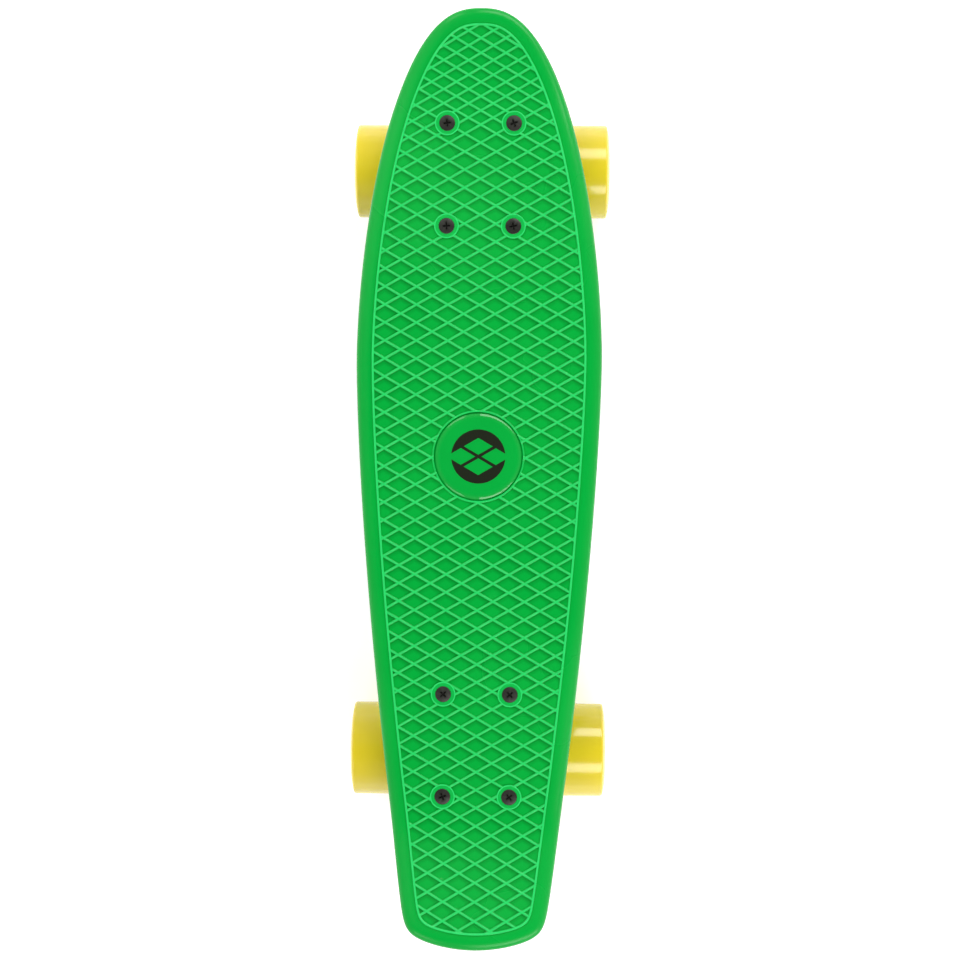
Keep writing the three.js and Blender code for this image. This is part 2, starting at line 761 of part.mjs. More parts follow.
function hangerWeb() {
  const neckReach = pivotReach - pivotStubLength;
  const tuck = ringRadius - ringThickness / 3;
  const web = sidePrism([
    byKingpin(ringStart + ringSeatDepth, tuck), byPivot(neckReach - 2 * pivotNeckRadius, -pivotNeckRadius / 2),
    byPivot(neckReach, pivotRadius), byPivot(neckReach + pivotNeckRadius / 2, -pivotRadius),
    byAxle(webFrontDeg, housingRadius), byAxle(webBottomDeg, housingRadius),
    byAxle(webRearDeg, housingRadius), byKingpin(ringEnd - ringSeatDepth / 2, tuck),
  ], wingHalfWidth);
  const top = -wingStartDrop + pivotNeckRadius;
  const middle = ringCentre.z - housingRadius / 2;
  const low = housingRadius / 4 - axleDrop;
  const floor = -axleDrop - 2 * housingRadius;
  const half = [[webHalfWidth, top], [webNeckHalfWidth, middle], [wingHalfWidth, low], [wingHalfWidth, floor]];
  const outline = [...half, ...half.map(([x, z]) => [-x, z]).reverse()];
  const shape = new THREE.Shape(outline.map(([x, z]) => new THREE.Vector2(x, z)));
  const front = new THREE.ExtrudeGeometry(shape, { depth: 2 * baseLength, bevelEnabled: false })
    .rotateX(Math.PI / 2).translate(0, baseLength, 0);
  return common(web, front);
}

function hangerGeometry() {
  const body = join([
    axleHousing(), hangerWeb(), pivotStub(), onKingpin(disc(ringRadius, ringStart, ringEnd, ringSides)),
  ]);
  const seat = boreFor(bushingRadius, ringSides);
  const room = ringRadius - 2 * seatGap;
  return cut(body, [
    onKingpin(disc(ringBoreRadius, 0, kingpinLength, ringSides)),
    onKingpin(disc(seat, 0, ringStart + ringSeatDepth, ringSides)),
    onKingpin(disc(room, 0, ringStart, ringSides)),
    onKingpin(disc(seat, ringEnd - ringSeatDepth, kingpinLength, ringSides)),
    onKingpin(disc(room, ringEnd, kingpinLength, ringSides)),
    onAxle(disc(boreFor(axleRadius, axleSides), -axleEnd, axleEnd, axleSides)),
  ]);
}

// Places along the axle, outwards from the middle of the truck
const innerWasherStart = hangerWidth / 2 + seatGap;
const innerBearingStart = innerWasherStart + speedWasherThickness + seatGap;
const spacerStart = innerBearingStart + bearingWidth + seatGap;
const outerBearingStart = spacerStart + spacerLength + seatGap;
const outerWasherStart = outerBearingStart + bearingWidth + seatGap;
const axleNutStart = outerWasherStart + speedWasherThickness + seatGap;

function axleGeometry() {
  const half = [
    [axleRadius, innerWasherStart], [speedWasherRadius, innerWasherStart],
    [speedWasherRadius, innerWasherStart + speedWasherThickness],
    [axleRadius, innerWasherStart + speedWasherThickness],
    [axleRadius, outerWasherStart], [speedWasherRadius, outerWasherStart],
    [speedWasherRadius, outerWasherStart + speedWasherThickness],
    [axleRadius, outerWasherStart + speedWasherThickness], [axleRadius, axleEnd], [0, axleEnd],
  ];
  const mirrored = half.map(([radius, x]) => [radius, -x]).reverse();
  return onAxle(turned([...mirrored, ...half], axleSides));
}

const bearingBore = boreFor(axleRadius, bearingSides);

function bearingGeometry(start) {
  return onAxle(ring(bearingBore, bearingRadius, start, start + bearingWidth, bearingSides));
}

function spacerGeometry() {
  const bore = boreFor(axleRadius, spacerSides);
  return onAxle(ring(bore, spacerRadius, spacerStart, spacerStart + spacerLength, spacerSides));
}

function axleNutGeometry() {
  const nut = hexNut(axleNutAcross, boreFor(axleRadius, axleSides), axleNutHeight);
  return onAxle(nut.translate(0, 0, axleNutStart));
}

function wheelGeometry() {
  const seat = boreFor(bearingRadius, wheelSides);
  const inner = innerBearingStart - wheelInnerLip;
  const outer = inner + wheelWidth;
  const innerSeatFloor = spacerStart;
  const outerSeatFloor = outerBearingStart - seatGap;
  return onAxle(turned([
    [wheelInnerMouth, inner], [wheelRadius - wheelLipRadius, inner], [wheelRadius, inner + wheelLipRadius],
    [wheelRadius, outer - wheelLipRadius], [wheelRadius - wheelLipRadius, outer], [wheelOuterMouth, outer],
    [seat, outerBearingStart + bearingWidth + seatGap], [seat, outerSeatFloor], [wheelHubBore, outerSeatFloor],
    [wheelHubBore, innerSeatFloor], [seat, innerSeatFloor], [seat, innerBearingStart - seatGap],
  ], wheelSides));
}

// Fasteners through the deck and the baseplate
const boltTop = boltHeadTop - mountHeight;

function boltGeometry() {
  const coneTop = boltTop - boltHeadRim;
  const coneEnd = coneTop - (boltHeadRadius - boltRadius);
  const end = boltTop - boltLength;
  return turned([
    [0, boltTop], [boltHeadRadius, boltTop], [boltHeadRadius, coneTop],
    [boltRadius, coneEnd], [boltRadius, end], [0, end],
  ], boltSides);
}

function lockNutGeometry() {
  return hexNut(lockNutAcross, boreFor(boltRadius, boltSides), lockNutHeight)
    .translate(0, 0, -baseThickness - seatGap - lockNutHeight);
}

// The board
const board = new THREE.Group();

function addPiece(parent, name, geometry, finish) {
  const mesh = new THREE.Mesh(geometry, new THREE.MeshStandardMaterial(finish));
  mesh.name = name;
  parent.add(mesh);
}

function addWheelSet(truck, end, side) {
  const mirror = new THREE.Group();
  const hand = side * truck.userData.facing > 0 ? "right" : "left";
  if (side < 0) mirror.rotation.z = Math.PI;
  if (side < 0) mirror.position.y = 2 * axleOutset;
  truck.add(mirror);
  addPiece(mirror, `wheel_${end}_${hand}`, wheelGeometry(), urethane);
  addPiece(mirror, `bearing_${end}_${hand}_inner`, bearingGeometry(innerBearingStart), bearingSteel);
  addPiece(mirror, `bearing_${end}_${hand}_outer`, bearingGeometry(outerBearingStart), bearingSteel);
  addPiece(mirror, `bearing_spacer_${end}_${hand}`, spacerGeometry(), zincSteel);
  addPiece(mirror, `axle_nut_${end}_${hand}`, axleNutGeometry(), zincSteel);
}

function addTruck(end, patternY, facing) {
  const truck = new THREE.Group();
  truck.userData.facing = facing;
  truck.position.set(0, patternY, mountHeight);
  truck.rotation.z = facing > 0 ? 0 : Math.PI;
  board.add(truck);
  addPiece(truck, `baseplate_${end}`, baseplateGeometry(), castAluminium);
  addPiece(truck, `pivot_cup_${end}`, pivotCupGeometry(), blackUrethane);
  addPiece(truck, `kingpin_${end}`, kingpinGeometry(), zincSteel);
  addPiece(truck, `washer_top_${end}`, cupWasherGeometry(topWasherStart), zincSteel);
  addPiece(truck, `bushing_top_${end}`, barrelGeometry(), blackUrethane);
  addPiece(truck, `bushing_bottom_${end}`, coneGeometry(), blackUrethane);
  addPiece(truck, `washer_bottom_${end}`, cupWasherGeometry(lowWasherStart), zincSteel);
  addPiece(truck, `kingpin_nut_${end}`, kingpinNutGeometry(), zincSteel);
  addPiece(truck, `hanger_${end}`, hangerGeometry(), castAluminium);
  addPiece(truck, `axle_${end}`, axleGeometry(), zincSteel);
  for (const side of [-1, 1]) addWheelSet(truck, end, side);
  boltPlaces(0).forEach(([x, y], i) => {
    addPiece(truck, `deck_bolt_${end}_${i + 1}`, boltGeometry().translate(x, y, 0), blackBolt);
    addPiece(truck, `lock_nut_${end}_${i + 1}`, lockNutGeometry().translate(x, y, 0), blackBolt);
  });
}

addPiece(board, "deck", deckGeometry(), deckPlastic);
addPiece(board, "badge", badgeGeometry(), badgeResin);
addTruck("front", frontPatternY, 1);
addTruck("rear", rearPatternY, -1);

export default board;
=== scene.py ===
import bisect
import math

import bmesh
import bpy
from mathutils import Matrix, Vector


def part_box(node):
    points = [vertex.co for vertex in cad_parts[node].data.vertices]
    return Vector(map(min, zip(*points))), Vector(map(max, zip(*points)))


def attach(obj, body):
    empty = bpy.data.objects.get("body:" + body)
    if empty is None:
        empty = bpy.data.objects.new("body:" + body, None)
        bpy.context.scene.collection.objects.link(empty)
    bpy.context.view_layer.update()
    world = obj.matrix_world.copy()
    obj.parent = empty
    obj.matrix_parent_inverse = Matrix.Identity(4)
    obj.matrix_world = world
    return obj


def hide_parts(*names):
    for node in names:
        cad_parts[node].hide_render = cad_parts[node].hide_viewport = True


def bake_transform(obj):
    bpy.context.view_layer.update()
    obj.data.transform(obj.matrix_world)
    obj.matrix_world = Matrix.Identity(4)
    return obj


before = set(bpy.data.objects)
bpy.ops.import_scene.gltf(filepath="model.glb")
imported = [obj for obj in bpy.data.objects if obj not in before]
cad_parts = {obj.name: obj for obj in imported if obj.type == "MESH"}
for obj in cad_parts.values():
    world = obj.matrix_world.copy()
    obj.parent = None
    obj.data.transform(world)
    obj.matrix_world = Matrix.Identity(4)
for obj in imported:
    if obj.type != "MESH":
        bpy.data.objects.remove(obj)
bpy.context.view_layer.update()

# Sizes below are in millimetres; meshes are made in metres.
millimetre = 0.001


def boxOf(name):  # lowest and highest corner of a CAD piece
    low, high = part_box(name)
    return low / millimetre, high / millimetre


def middleOf(name):
    low, high = boxOf(name)
    return (low + high) / 2


def addMesh(name, points, faces):
    mesh = bpy.data.meshes.new(name)
    mesh.from_pydata([Vector(point) * millimetre for point in points], [], faces)
    build = bmesh.new()
    build.from_mesh(mesh)
    bmesh.ops.recalc_face_normals(build, faces=build.faces)
    build.to_mesh(mesh)
    build.free()
    return addObject(name, mesh)


def addObject(name, data):
    made = bpy.data.objects.new(name, data)
    bpy.context.scene.collection.objects.link(made)
    return made


def settle(piece):  # the modifiers become the mesh
    graph = bpy.context.evaluated_depsgraph_get()
    mesh = bpy.data.meshes.new_from_object(piece.evaluated_get(graph))
    piece.modifiers.clear()
    piece.data = mesh
    return piece


def combine(piece, others, operation):
    for other in others:
        step = piece.modifiers.new(operation, "BOOLEAN")
        step.operation = operation
        step.solver = "MANIFOLD"
        step.object = other
    settle(piece)
    for other in others:
        bpy.data.objects.remove(other)
    return piece


def join(piece, *others):
    return combine(piece, others, "UNION")


def cut(piece, *others):
    return combine(piece, others, "DIFFERENCE")


def common(piece, *others):
    return combine(piece, others, "INTERSECT")


def moved(piece, matrix):
    piece.data.transform(matrix)
    return piece


def shift(x, y, z):
    return Matrix.Translation(Vector((x, y, z)) * millimetre)


def arc(steps, span=math.pi / 2, first=0):  # sine and cosine of evenly spaced angles
    return [(math.sin(span * k / steps), math.cos(span * k / steps)) for k in range(first, steps + 1)]


def rounded(corners, steps=4, closed=True):  # corners are (across, up, radius)
    outline = []
    for i, (across, up, radius) in enumerate(corners):
        here = Vector((across, up))
        ends = not closed and i in (0, len(corners) - 1)
        if radius == 0 or ends:
            outline.append((across, up))
            continue
        before = Vector(corners[i - 1][:2]) - here
        after = Vector(corners[(i + 1) % len(corners)][:2]) - here
        half = before.angle(after) / 2
        reach = radius / math.tan(half)
        centre = here + (before.normalized() + after.normalized()).normalized() * radius / math.sin(half)
        start = here + before.normalized() * reach - centre
        turn = (here + after.normalized() * reach - centre).angle_signed(start)
        for step in range(steps + 1):
            spot = start.copy()
            spot.rotate(Matrix.Rotation(turn * step / steps, 2))
            outline.append(tuple(centre + spot))
    return outline


def turned(name, profile, sides, matrix=Matrix.Identity(4)):
    # profile is (radius, height), from axis to axis or closed
    points, rows = [], []
    for radius, height in profile:
        if radius == 0:
            rows.append([len(points)] * sides)
            points.append((0, 0, height))
            continue
        rows.append(list(range(len(points), len(points) + sides)))
        for i in range(sides):
            angle = 2 * math.pi * i / sides
            points.append((radius * math.cos(angle), radius * math.sin(angle), height))
    pairs = list(zip(rows, rows[1:]))
    if profile[0][0] > 0:
        pairs.append((rows[-1], rows[0]))
    faces = []
    for lower, upper in pairs:
        for i in range(sides):
            j = (i + 1) % sides
            corners = list(dict.fromkeys((lower[i], lower[j], upper[j], upper[i])))
            if len(corners) > 2:
                faces.append(corners)
    return moved(addMesh(name, points, faces), matrix)


def cylinder(name, radius, low, high, sides, matrix):
    return turned(name, [(0, low), (radius, low), (radius, high), (0, high)], sides, matrix)


def ringOf(name, radii, heights, fillets, steps, sides, matrix=Matrix.Identity(4)):
    # fillets go round from the low inner corner
    (inner, outer), (low, high) = radii, heights
    corners = ((inner, low), (outer, low), (outer, high), (inner, high))
    profile = rounded([(*corner, fillet) for corner, fillet in zip(corners, fillets)], steps)
    return turned(name, profile, sides, matrix)


def strip(lower, upper, size):  # faces between two closed rows of points
    return [[lower + i, lower + (i + 1) % size, upper + (i + 1) % size, upper + i] for i in range(size)]


def tube(size, count, first=0):  # both ends, and the faces between rows of that many points
    faces = [list(range(start, start + size)) for start in (first, first + count * size)]
    for k in range(count):
        faces += strip(first + k * size, first + (k + 1) * size, size)
    return faces


def prism(name, outline, low, high):  # outline in x and y
    return addMesh(name, [(x, y, z) for z in (low, high) for x, y in outline], tube(len(outline), 1))


def block(name, low, high):
    return prism(name, [(low[0], low[1]), (high[0], low[1]), (high[0], high[1]), (low[0], high[1])],
                 low[2], high[2])


def threadedRod(name, radius, length, threads, chamfer=0.6, sides=28):
    # threads are (from, to, pitch, depth) along the rod
    heights = {0, chamfer, length - chamfer, length}
    for start, end, pitch, depth in threads:
        count = round((end - start) / pitch * 5)
        heights |= {start + (end - start) * i / count for i in range(count + 1)}
    points = []
    for height in sorted(heights):
        fade = min(1, height / chamfer, (length - height) / chamfer)
        for i in range(sides):
            angle = 2 * math.pi * i / sides
            reach = radius - chamfer * 0.7 * (1 - fade)
            for start, end, pitch, depth in threads:
                if start < height < end:
                    wave = (height / pitch - i / sides) % 1
                    runOut = min(1, (height - start) / pitch, (end - height) / pitch + 0.4)
                    reach -= depth * abs(2 * wave - 1) * runOut
            points.append((reach * math.cos(angle), reach * math.sin(angle), height))
    return addMesh(name, points, tube(sides, len(heights) - 1))


def cornerOf(across):  # radius to the corners of a hexagon, from its width across flats
    return across / 2 / math.cos(math.pi / 6)


def hexPoints(across):
    turns = [(i + 0.5) * math.pi / 3 for i in range(6)]
    return [(cornerOf(across) * math.cos(turn), cornerOf(across) * math.sin(turn)) for turn in turns]


def smooth(piece, angleDeg=38):
    piece.data.polygons.foreach_set("use_smooth", [True] * len(piece.data.polygons))
    piece.data.set_sharp_from_angle(angle=math.radians(angleDeg))
    return piece


columnWidth, rowHeight = 240, 300


def plug(target, value):  # links a socket or a node's first output, sets anything else
    if isinstance(value, bpy.types.Node):
        value = value.outputs[0]
    if isinstance(value, bpy.types.NodeSocket):
        target.id_data.links.new(value, target)
    else:
        target.default_value = value


def addNode(tree, kind, *inputs, **values):  # inputs in their order, then settings and inputs by label
    made = tree.nodes.new("ShaderNode" + kind)
    for name, value in values.items():
        if hasattr(made, name):
            setattr(made, name, value)
        else:
            plug(made.inputs[name.replace("_", " ")], value)
    for target, value in zip(made.inputs, inputs):
        plug(target, value)
    return made


def calc(tree, operation, *inputs):
    return addNode(tree, "Math", *inputs, operation=operation)


def remap(tree, value, low, high, toLow=0.0, toHigh=1.0):
    return addNode(tree, "MapRange", value, low, high, toLow, toHigh)


def mix(tree, share, first, second, kind="RGBA"):
    return addNode(tree, "Mix", data_type=kind, Factor=share, A=first, B=second).outputs["Result"]


def places(tree):
    return addNode(tree, "TexCoord").outputs["Object"]


def noise(tree, scale, detail, roughness=0.5):
    return addNode(tree, "TexNoise", Vector=places(tree), Scale=scale, Detail=detail, Roughness=roughness)


def layOut(tree):  # nodes in columns, by their steps from the output
    columns = {}

    def follow(node, step):
        columns[node.name] = max(step, columns.get(node.name, 0))
        for socket in node.inputs:
            for link in socket.links:
                follow(link.from_node, step + 1)

    for node in tree.nodes:
        if not node.outputs:
            follow(node, 0)
    filled = []
    for name, column in columns.items():
        tree.nodes[name].location = (-columnWidth * column, -rowHeight * filled.count(column))
        filled.append(column)


def linear(red, green, blue):  # a screen colour of 0 to 255 as the shader's own numbers
    def one(value):
        share = value / 255
        return share / 12.92 if share <= 0.04045 else ((share + 0.055) / 1.055) ** 2.4
    return (one(red), one(green), one(blue), 1)


def newGroup(name, outputs, **inputs):
    tree = bpy.data.node_groups.new(name, "ShaderNodeTree")
    for label, value in inputs.items():
        kind = "NodeSocketColor" if isinstance(value, tuple) else "NodeSocketFloat"
        socket = tree.interface.new_socket(label.replace("_", " "), in_out="INPUT", socket_type=kind)
        socket.default_value = value
    for label in outputs:
        kind = "NodeSocketColor" if label == "Color" else "NodeSocketFloat"
        tree.interface.new_socket(label, in_out="OUTPUT", socket_type=kind)
    given, result = tree.nodes.new("NodeGroupInput"), tree.nodes.new("NodeGroupOutput")
    return tree, given.outputs, result.inputs


def tintDriftGroup():  # slow change of tone over a surface
    grey = (0.5, 0.5, 0.5, 1)
    tree, given, result = newGroup("tintDrift", ("Color", "Tone"), Color=grey, Scale=12, Amount=0.1)
    clouds = noise(tree, given["Scale"], 3.0)
    span = remap(tree, clouds, 0.3, 0.7, -1.0, 1.0)
    much = calc(tree, "MULTIPLY_ADD", span, given["Amount"], 1)
    plug(result["Color"], addNode(tree, "HueSaturation", Value=much, Color=given["Color"]))
    plug(result["Tone"], clouds)
    return tree


def grainGroup():  # fine mould or casting grain, as a height
    tree, given, result = newGroup("fineGrain", ("Height",), Scale=900, Pits=0.3)
    fine = noise(tree, given["Scale"], 4.0, 0.6)
    pits = addNode(tree, "TexVoronoi", feature="SMOOTH_F1", Vector=places(tree), Scale=given["Scale"])
    plug(result["Height"], mix(tree, given["Pits"], fine, pits, "FLOAT"))
    return tree


def edgeWearGroup():  # rubbed outer edges, broken up by noise
    tree, given, result = newGroup("edgeWear", ("Mask",), Start=0.52, End=0.6, Breakup=400)
    pointed = addNode(tree, "NewGeometry").outputs["Pointiness"]
    edge = remap(tree, pointed, given["Start"], given["End"])
    patchy = remap(tree, noise(tree, given["Breakup"], 5.0), 0.38, 0.62)
    plug(result["Mask"], calc(tree, "MULTIPLY", edge, patchy))
    return tree


def dustGroup():  # faint dust where a surface faces up
    tree, given, result = newGroup("dustFilm", ("Mask",), Amount=0.1, Scale=60)
    normal = addNode(tree, "NewGeometry").outputs["Normal"]
    up = remap(tree, addNode(tree, "SeparateXYZ", normal).outputs["Z"], 0.2, 1.0)
    both = calc(tree, "MULTIPLY", up, noise(tree, given["Scale"], 6.0, 0.65))
    plug(result["Mask"], calc(tree, "MULTIPLY", both, given["Amount"]))
    return tree


groups = {"tintDrift": tintDriftGroup(), "fineGrain": grainGroup(), "edgeWear": edgeWearGroup(),
          "dustFilm": dustGroup()}
print("effects:", ", ".join(groups))


def placeGroup(tree, name, **values):
    return addNode(tree, "Group", node_tree=groups[name], **values)


def newMaterial(name, values):
    material = bpy.data.materials.new(name)
    material.use_nodes = True
    tree = material.node_tree
    shader = tree.nodes["Principled BSDF"]
    for label, value in values.items():
        shader.inputs[label].default_value = value
    return material, tree, shader.inputs


def addGrain(tree, shader, scale, pits, strength):
    grain = placeGroup(tree, "fineGrain", Scale=scale, Pits=pits)
    bump = addNode(tree, "Bump", Height=grain, Strength=strength, Distance=0.0002)
    plug(shader["Normal"], bump)


def finish(name, look):
    material, tree, shader = newMaterial(name, look.get("shader", {}))
    start = look["wearStart"]
    tone = placeGroup(tree, "tintDrift", Color=linear(*look["color"]), Scale=look["driftScale"],
                      Amount=look["drift"])
    wear = placeGroup(tree, "edgeWear", Start=start, End=start + look["wearSpan"], Breakup=look["breakup"])
    dust = placeGroup(tree, "dustFilm", Amount=look["dust"], Scale=look["dustScale"])
    share = calc(tree, "MULTIPLY", wear, look["wear"])
    worn = mix(tree, share, tone.outputs["Color"], linear(*look["wornColor"]))
    plug(shader["Base Color"], mix(tree, dust, worn, linear(*look["dustColor"])))
    plug(shader["Roughness"], remap(tree, tone.outputs["Tone"], 0.3, 0.7, *look["roughness"]))
    addGrain(tree, shader, look["grainScale"], look["pits"], look["bump"])
    return material


usual = {"drift": 0.05, "wear": 0.3, "wearStart": 0.53, "wearSpan": 0.08, "breakup": 350, "pits": 0.2,
         "dust": 0.06, "dustScale": 45, "dustColor": (205, 203, 196)}
metal = {**usual, "wearStart": 0.52, "shader": {"Metallic": 1.0}}
finishes = {
    "deckPlastic": {
        **usual, "color": (0, 165, 57), "driftScale": 9.0, "drift": 0.04, "wornColor": (60, 205, 110),
        "wear": 0.06, "wearStart": 0.6, "dust": 0.002, "roughness": (0.2, 0.3), "grainScale": 1400.0,
        "bump": 0.06, "shader": {"Specular IOR Level": 0.3},
    },
    "wheelUrethane": {
        **usual, "color": (244, 216, 36), "driftScale": 20.0, "drift": 0.04, "wornColor": (240, 228, 110),
        "wearStart": 0.55, "dust": 0.03, "roughness": (0.13, 0.2), "grainScale": 700.0, "pits": 0.35,
        "bump": 0.05, "shader": {"Specular IOR Level": 0.75},
    },
    "castAluminium": {
        **metal, "color": (196, 198, 200), "driftScale": 30.0, "drift": 0.06, "wornColor": (226, 227, 228),
        "wear": 0.6, "roughness": (0.36, 0.5), "grainScale": 1100.0, "pits": 0.6, "bump": 0.22,
    },
    "zincSteel": {
        **metal, "color": (205, 207, 210), "driftScale": 60.0, "wornColor": (230, 230, 230), "wear": 0.5,
        "dust": 0.04, "roughness": (0.2, 0.32), "grainScale": 1600.0, "pits": 0.1, "bump": 0.04,
    },
    "bearingSteel": {
        **metal, "color": (176, 178, 181), "driftScale": 60.0, "drift": 0.04, "wornColor": (214, 214, 214),
        "wear": 0.4, "dust": 0.03, "roughness": (0.16, 0.24), "grainScale": 1800.0, "pits": 0.05,
        "bump": 0.03,
    },
    "blackSteel": {
        **usual, "color": (35, 37, 30), "driftScale": 80.0, "drift": 0.15, "wornColor": (96, 98, 90),
        "wear": 0.15, "dust": 0.08, "roughness": (0.34, 0.48), "grainScale": 1500.0, "pits": 0.3, "bump": 0.1,
        "shader": {"Metallic": 0.55},
    },
    "blackUrethane": {
        **usual, "color": (34, 34, 36), "driftScale": 40.0, "drift": 0.12, "wornColor": (70, 70, 72),
        "dust": 0.1, "roughness": (0.45, 0.58), "grainScale": 900.0, "pits": 0.3, "bump": 0.08,
    },
    "bearingShield": {
        **usual, "color": (30, 31, 33), "driftScale": 50.0, "drift": 0.1, "wornColor": (60, 60, 60),
        "wear": 0.2, "roughness": (0.42, 0.5), "grainScale": 1200.0, "bump": 0.06,
    },
    "nylonInsert": {
        **usual, "color": (216, 214, 204), "driftScale": 50.0, "wornColor": (232, 231, 226), "wear": 0.2,
        "dust": 0.05, "roughness": (0.4, 0.5), "grainScale": 1200.0, "bump": 0.05,
    },
}
materials = {name: finish(name, look) for name, look in finishes.items()}


grip = {
    "pitch": 11.12, "nosePitch": 8.73, "pitchChangeY": 218.2, "tiltDeg": 29.75, "step": 5,
    "section": [(-1.05, -0.6), (-1.05, 0), (-0.86, 0.45), (-0.48, 0.76), (0, 0.86),
                (0.48, 0.76), (0.86, 0.45), (1.05, 0), (1.05, -0.6)],
    # ridge is the painted highlight colour of the ridge tops, corner the painted shade colour of the cell
    # floors
    "ridge": (40, 214, 106), "ridgeHighlightAmount": 0.92, "corner": (0, 96, 22), "cornerShadeAmount": 0.88,
    "sideShadeDepths": (0.6, 0.4), "sideSpan": (0.6, 0.9), "cornerShadeDepth": 0.8, "cornerSpan": (0.3, 0.85),
    "floorSpan": (0.1, 0.5), "ridgeSpan": (0.45, 0.92),
}


def cellShadeGroup():  # painted shade, as if lit from the nose: darker on the tail side of each ridge and in one sharp corner of the cell
    tree, given, result = newGroup("cellShade", ("Mask",), Tilt=0.5, Change=0, Pitch=10, Nose_Pitch=10)
    inMillimetres = addNode(tree, "VectorMath", places(tree), operation="SCALE", Scale=1 / millimetre)
    parts = addNode(tree, "SeparateXYZ", inMillimetres).outputs
    slant = calc(tree, "MULTIPLY", parts["X"], given["Tilt"])
    shares, sides = [], []
    for operation, depth in zip(("ADD", "SUBTRACT"), grip["sideShadeDepths"]):
        crossing = calc(tree, operation, parts["Y"], slant)
        past = calc(tree, "SUBTRACT", crossing, given["Change"])
        behind = calc(tree, "LESS_THAN", past, 0)
        pitch = mix(tree, behind, given["Nose Pitch"], given["Pitch"], "FLOAT")
        shares.append(calc(tree, "FRACT", calc(tree, "DIVIDE", past, pitch)))
        sides.append(remap(tree, shares[-1], *grip["sideSpan"], 0, depth))
    apart = calc(tree, "SUBTRACT", *shares)
    corner = remap(tree, apart, *grip["cornerSpan"], 0, grip["cornerShadeDepth"])
    plug(result["Mask"], calc(tree, "MAXIMUM", corner, calc(tree, "MAXIMUM", *sides)))
    return tree


def paintedGripLight():  # painted highlight and shade: ridges paler than the cell floors, whose sides and corners get painted shade
    tree = materials["deckPlastic"].node_tree
    colour = tree.nodes["Principled BSDF"].inputs["Base Color"]
    below = colour.links[0].from_socket
    relief, inside = (addNode(tree, "Attribute", attribute_name=name).outputs["Fac"]
                      for name in ("relief", "gripArea"))
    cells = placeGroup(tree, "cellShade", Tilt=math.tan(math.radians(grip["tiltDeg"])),
                       Change=grip["pitchChangeY"], Pitch=grip["pitch"], Nose_Pitch=grip["nosePitch"])
    # painted shade, only on the cell floors and the lower ridge sides
    floor = remap(tree, relief, *grip["floorSpan"], grip["cornerShadeAmount"], 0)
    deep = calc(tree, "MULTIPLY", calc(tree, "MULTIPLY", floor, cells), inside)
    shaded = mix(tree, deep, below, linear(*grip["corner"]))
    # painted highlight on the ridge, bead and boss tops
    pale = remap(tree, relief, *grip["ridgeSpan"], 0, grip["ridgeHighlightAmount"])
    plug(colour, mix(tree, pale, shaded, linear(*grip["ridge"])))


groups["cellShade"] = cellShadeGroup()
paintedGripLight()

badge = {
    "radius": 27.2, "ringWidth": 1.5, "recess": 1.4, "clear": 0.2, "rise": 1.0, "shoulder": 7,
    "crown": 0.15, "edgeSlopeDeg": 34, "green": (0, 166, 58), "black": (30, 36, 24),
    "roundel": 16.8, "diamond": 5.2, "gap": 1.1, "stretch": 0.58,
    "shader": {"Coat Weight": 1, "Specular IOR Level": 0.1, "Coat Roughness": 0.03, "Roughness": 0.4},
}
badgeCentre = middleOf("badge")


def badgeFinish():  # clear dome over green, with a black roundel of four diamonds
    material, tree, shader = newMaterial("badgeResin", badge["shader"])
    middle = (badgeCentre.x * millimetre, badgeCentre.y * millimetre, 0)
    local = addNode(tree, "VectorMath", places(tree), middle, operation="SUBTRACT")
    parts = addNode(tree, "SeparateXYZ", local).outputs
    across = calc(tree, "MULTIPLY", parts["X"], badge["stretch"] / millimetre)
    along = calc(tree, "MULTIPLY", parts["Y"], 1 / millimetre)
    reach = badge["diamond"] + badge["gap"]
    diamonds = 0
    for offsets in ((0, reach), (0, -reach), (reach, 0), (-reach, 0)):
        spots = [calc(tree, "ABSOLUTE", calc(tree, "SUBTRACT", source, offset))
                 for source, offset in zip((across, along), offsets)]
        inside = calc(tree, "LESS_THAN", calc(tree, "ADD", *spots), badge["diamond"])
        diamonds = calc(tree, "MAXIMUM", diamonds, inside)
    level = (1 / millimetre, 1 / millimetre, 0)
    flat = addNode(tree, "VectorMath", local, level, operation="MULTIPLY")
    radius = addNode(tree, "VectorMath", flat, operation="LENGTH").outputs["Value"]
    disc = calc(tree, "LESS_THAN", radius, badge["roundel"])
    ink = addNode(tree, "Math", disc, diamonds, operation="SUBTRACT", use_clamp=True)
    green = placeGroup(tree, "tintDrift", Color=linear(*badge["green"]), Scale=14.0, Amount=0.05)
    plug(shader["Base Color"], mix(tree, ink, green.outputs["Color"], linear(*badge["black"])))
    addGrain(tree, shader, 90.0, 0.0, 0.03)
    return material


materials["badgeResin"] = badgeFinish()
for nodeTree in [*groups.values(), *(material.node_tree for material in materials.values())]:
    layOut(nodeTree)
print("finishes:", ", ".join(materials))


def dress(piece, slotName, *names):
    piece.data.materials.clear()
    for name in names:
        piece.data.materials.append(materials[name])
    return smooth(piece)


def seat(piece, node, body):
    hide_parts(node)
    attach(piece, body)


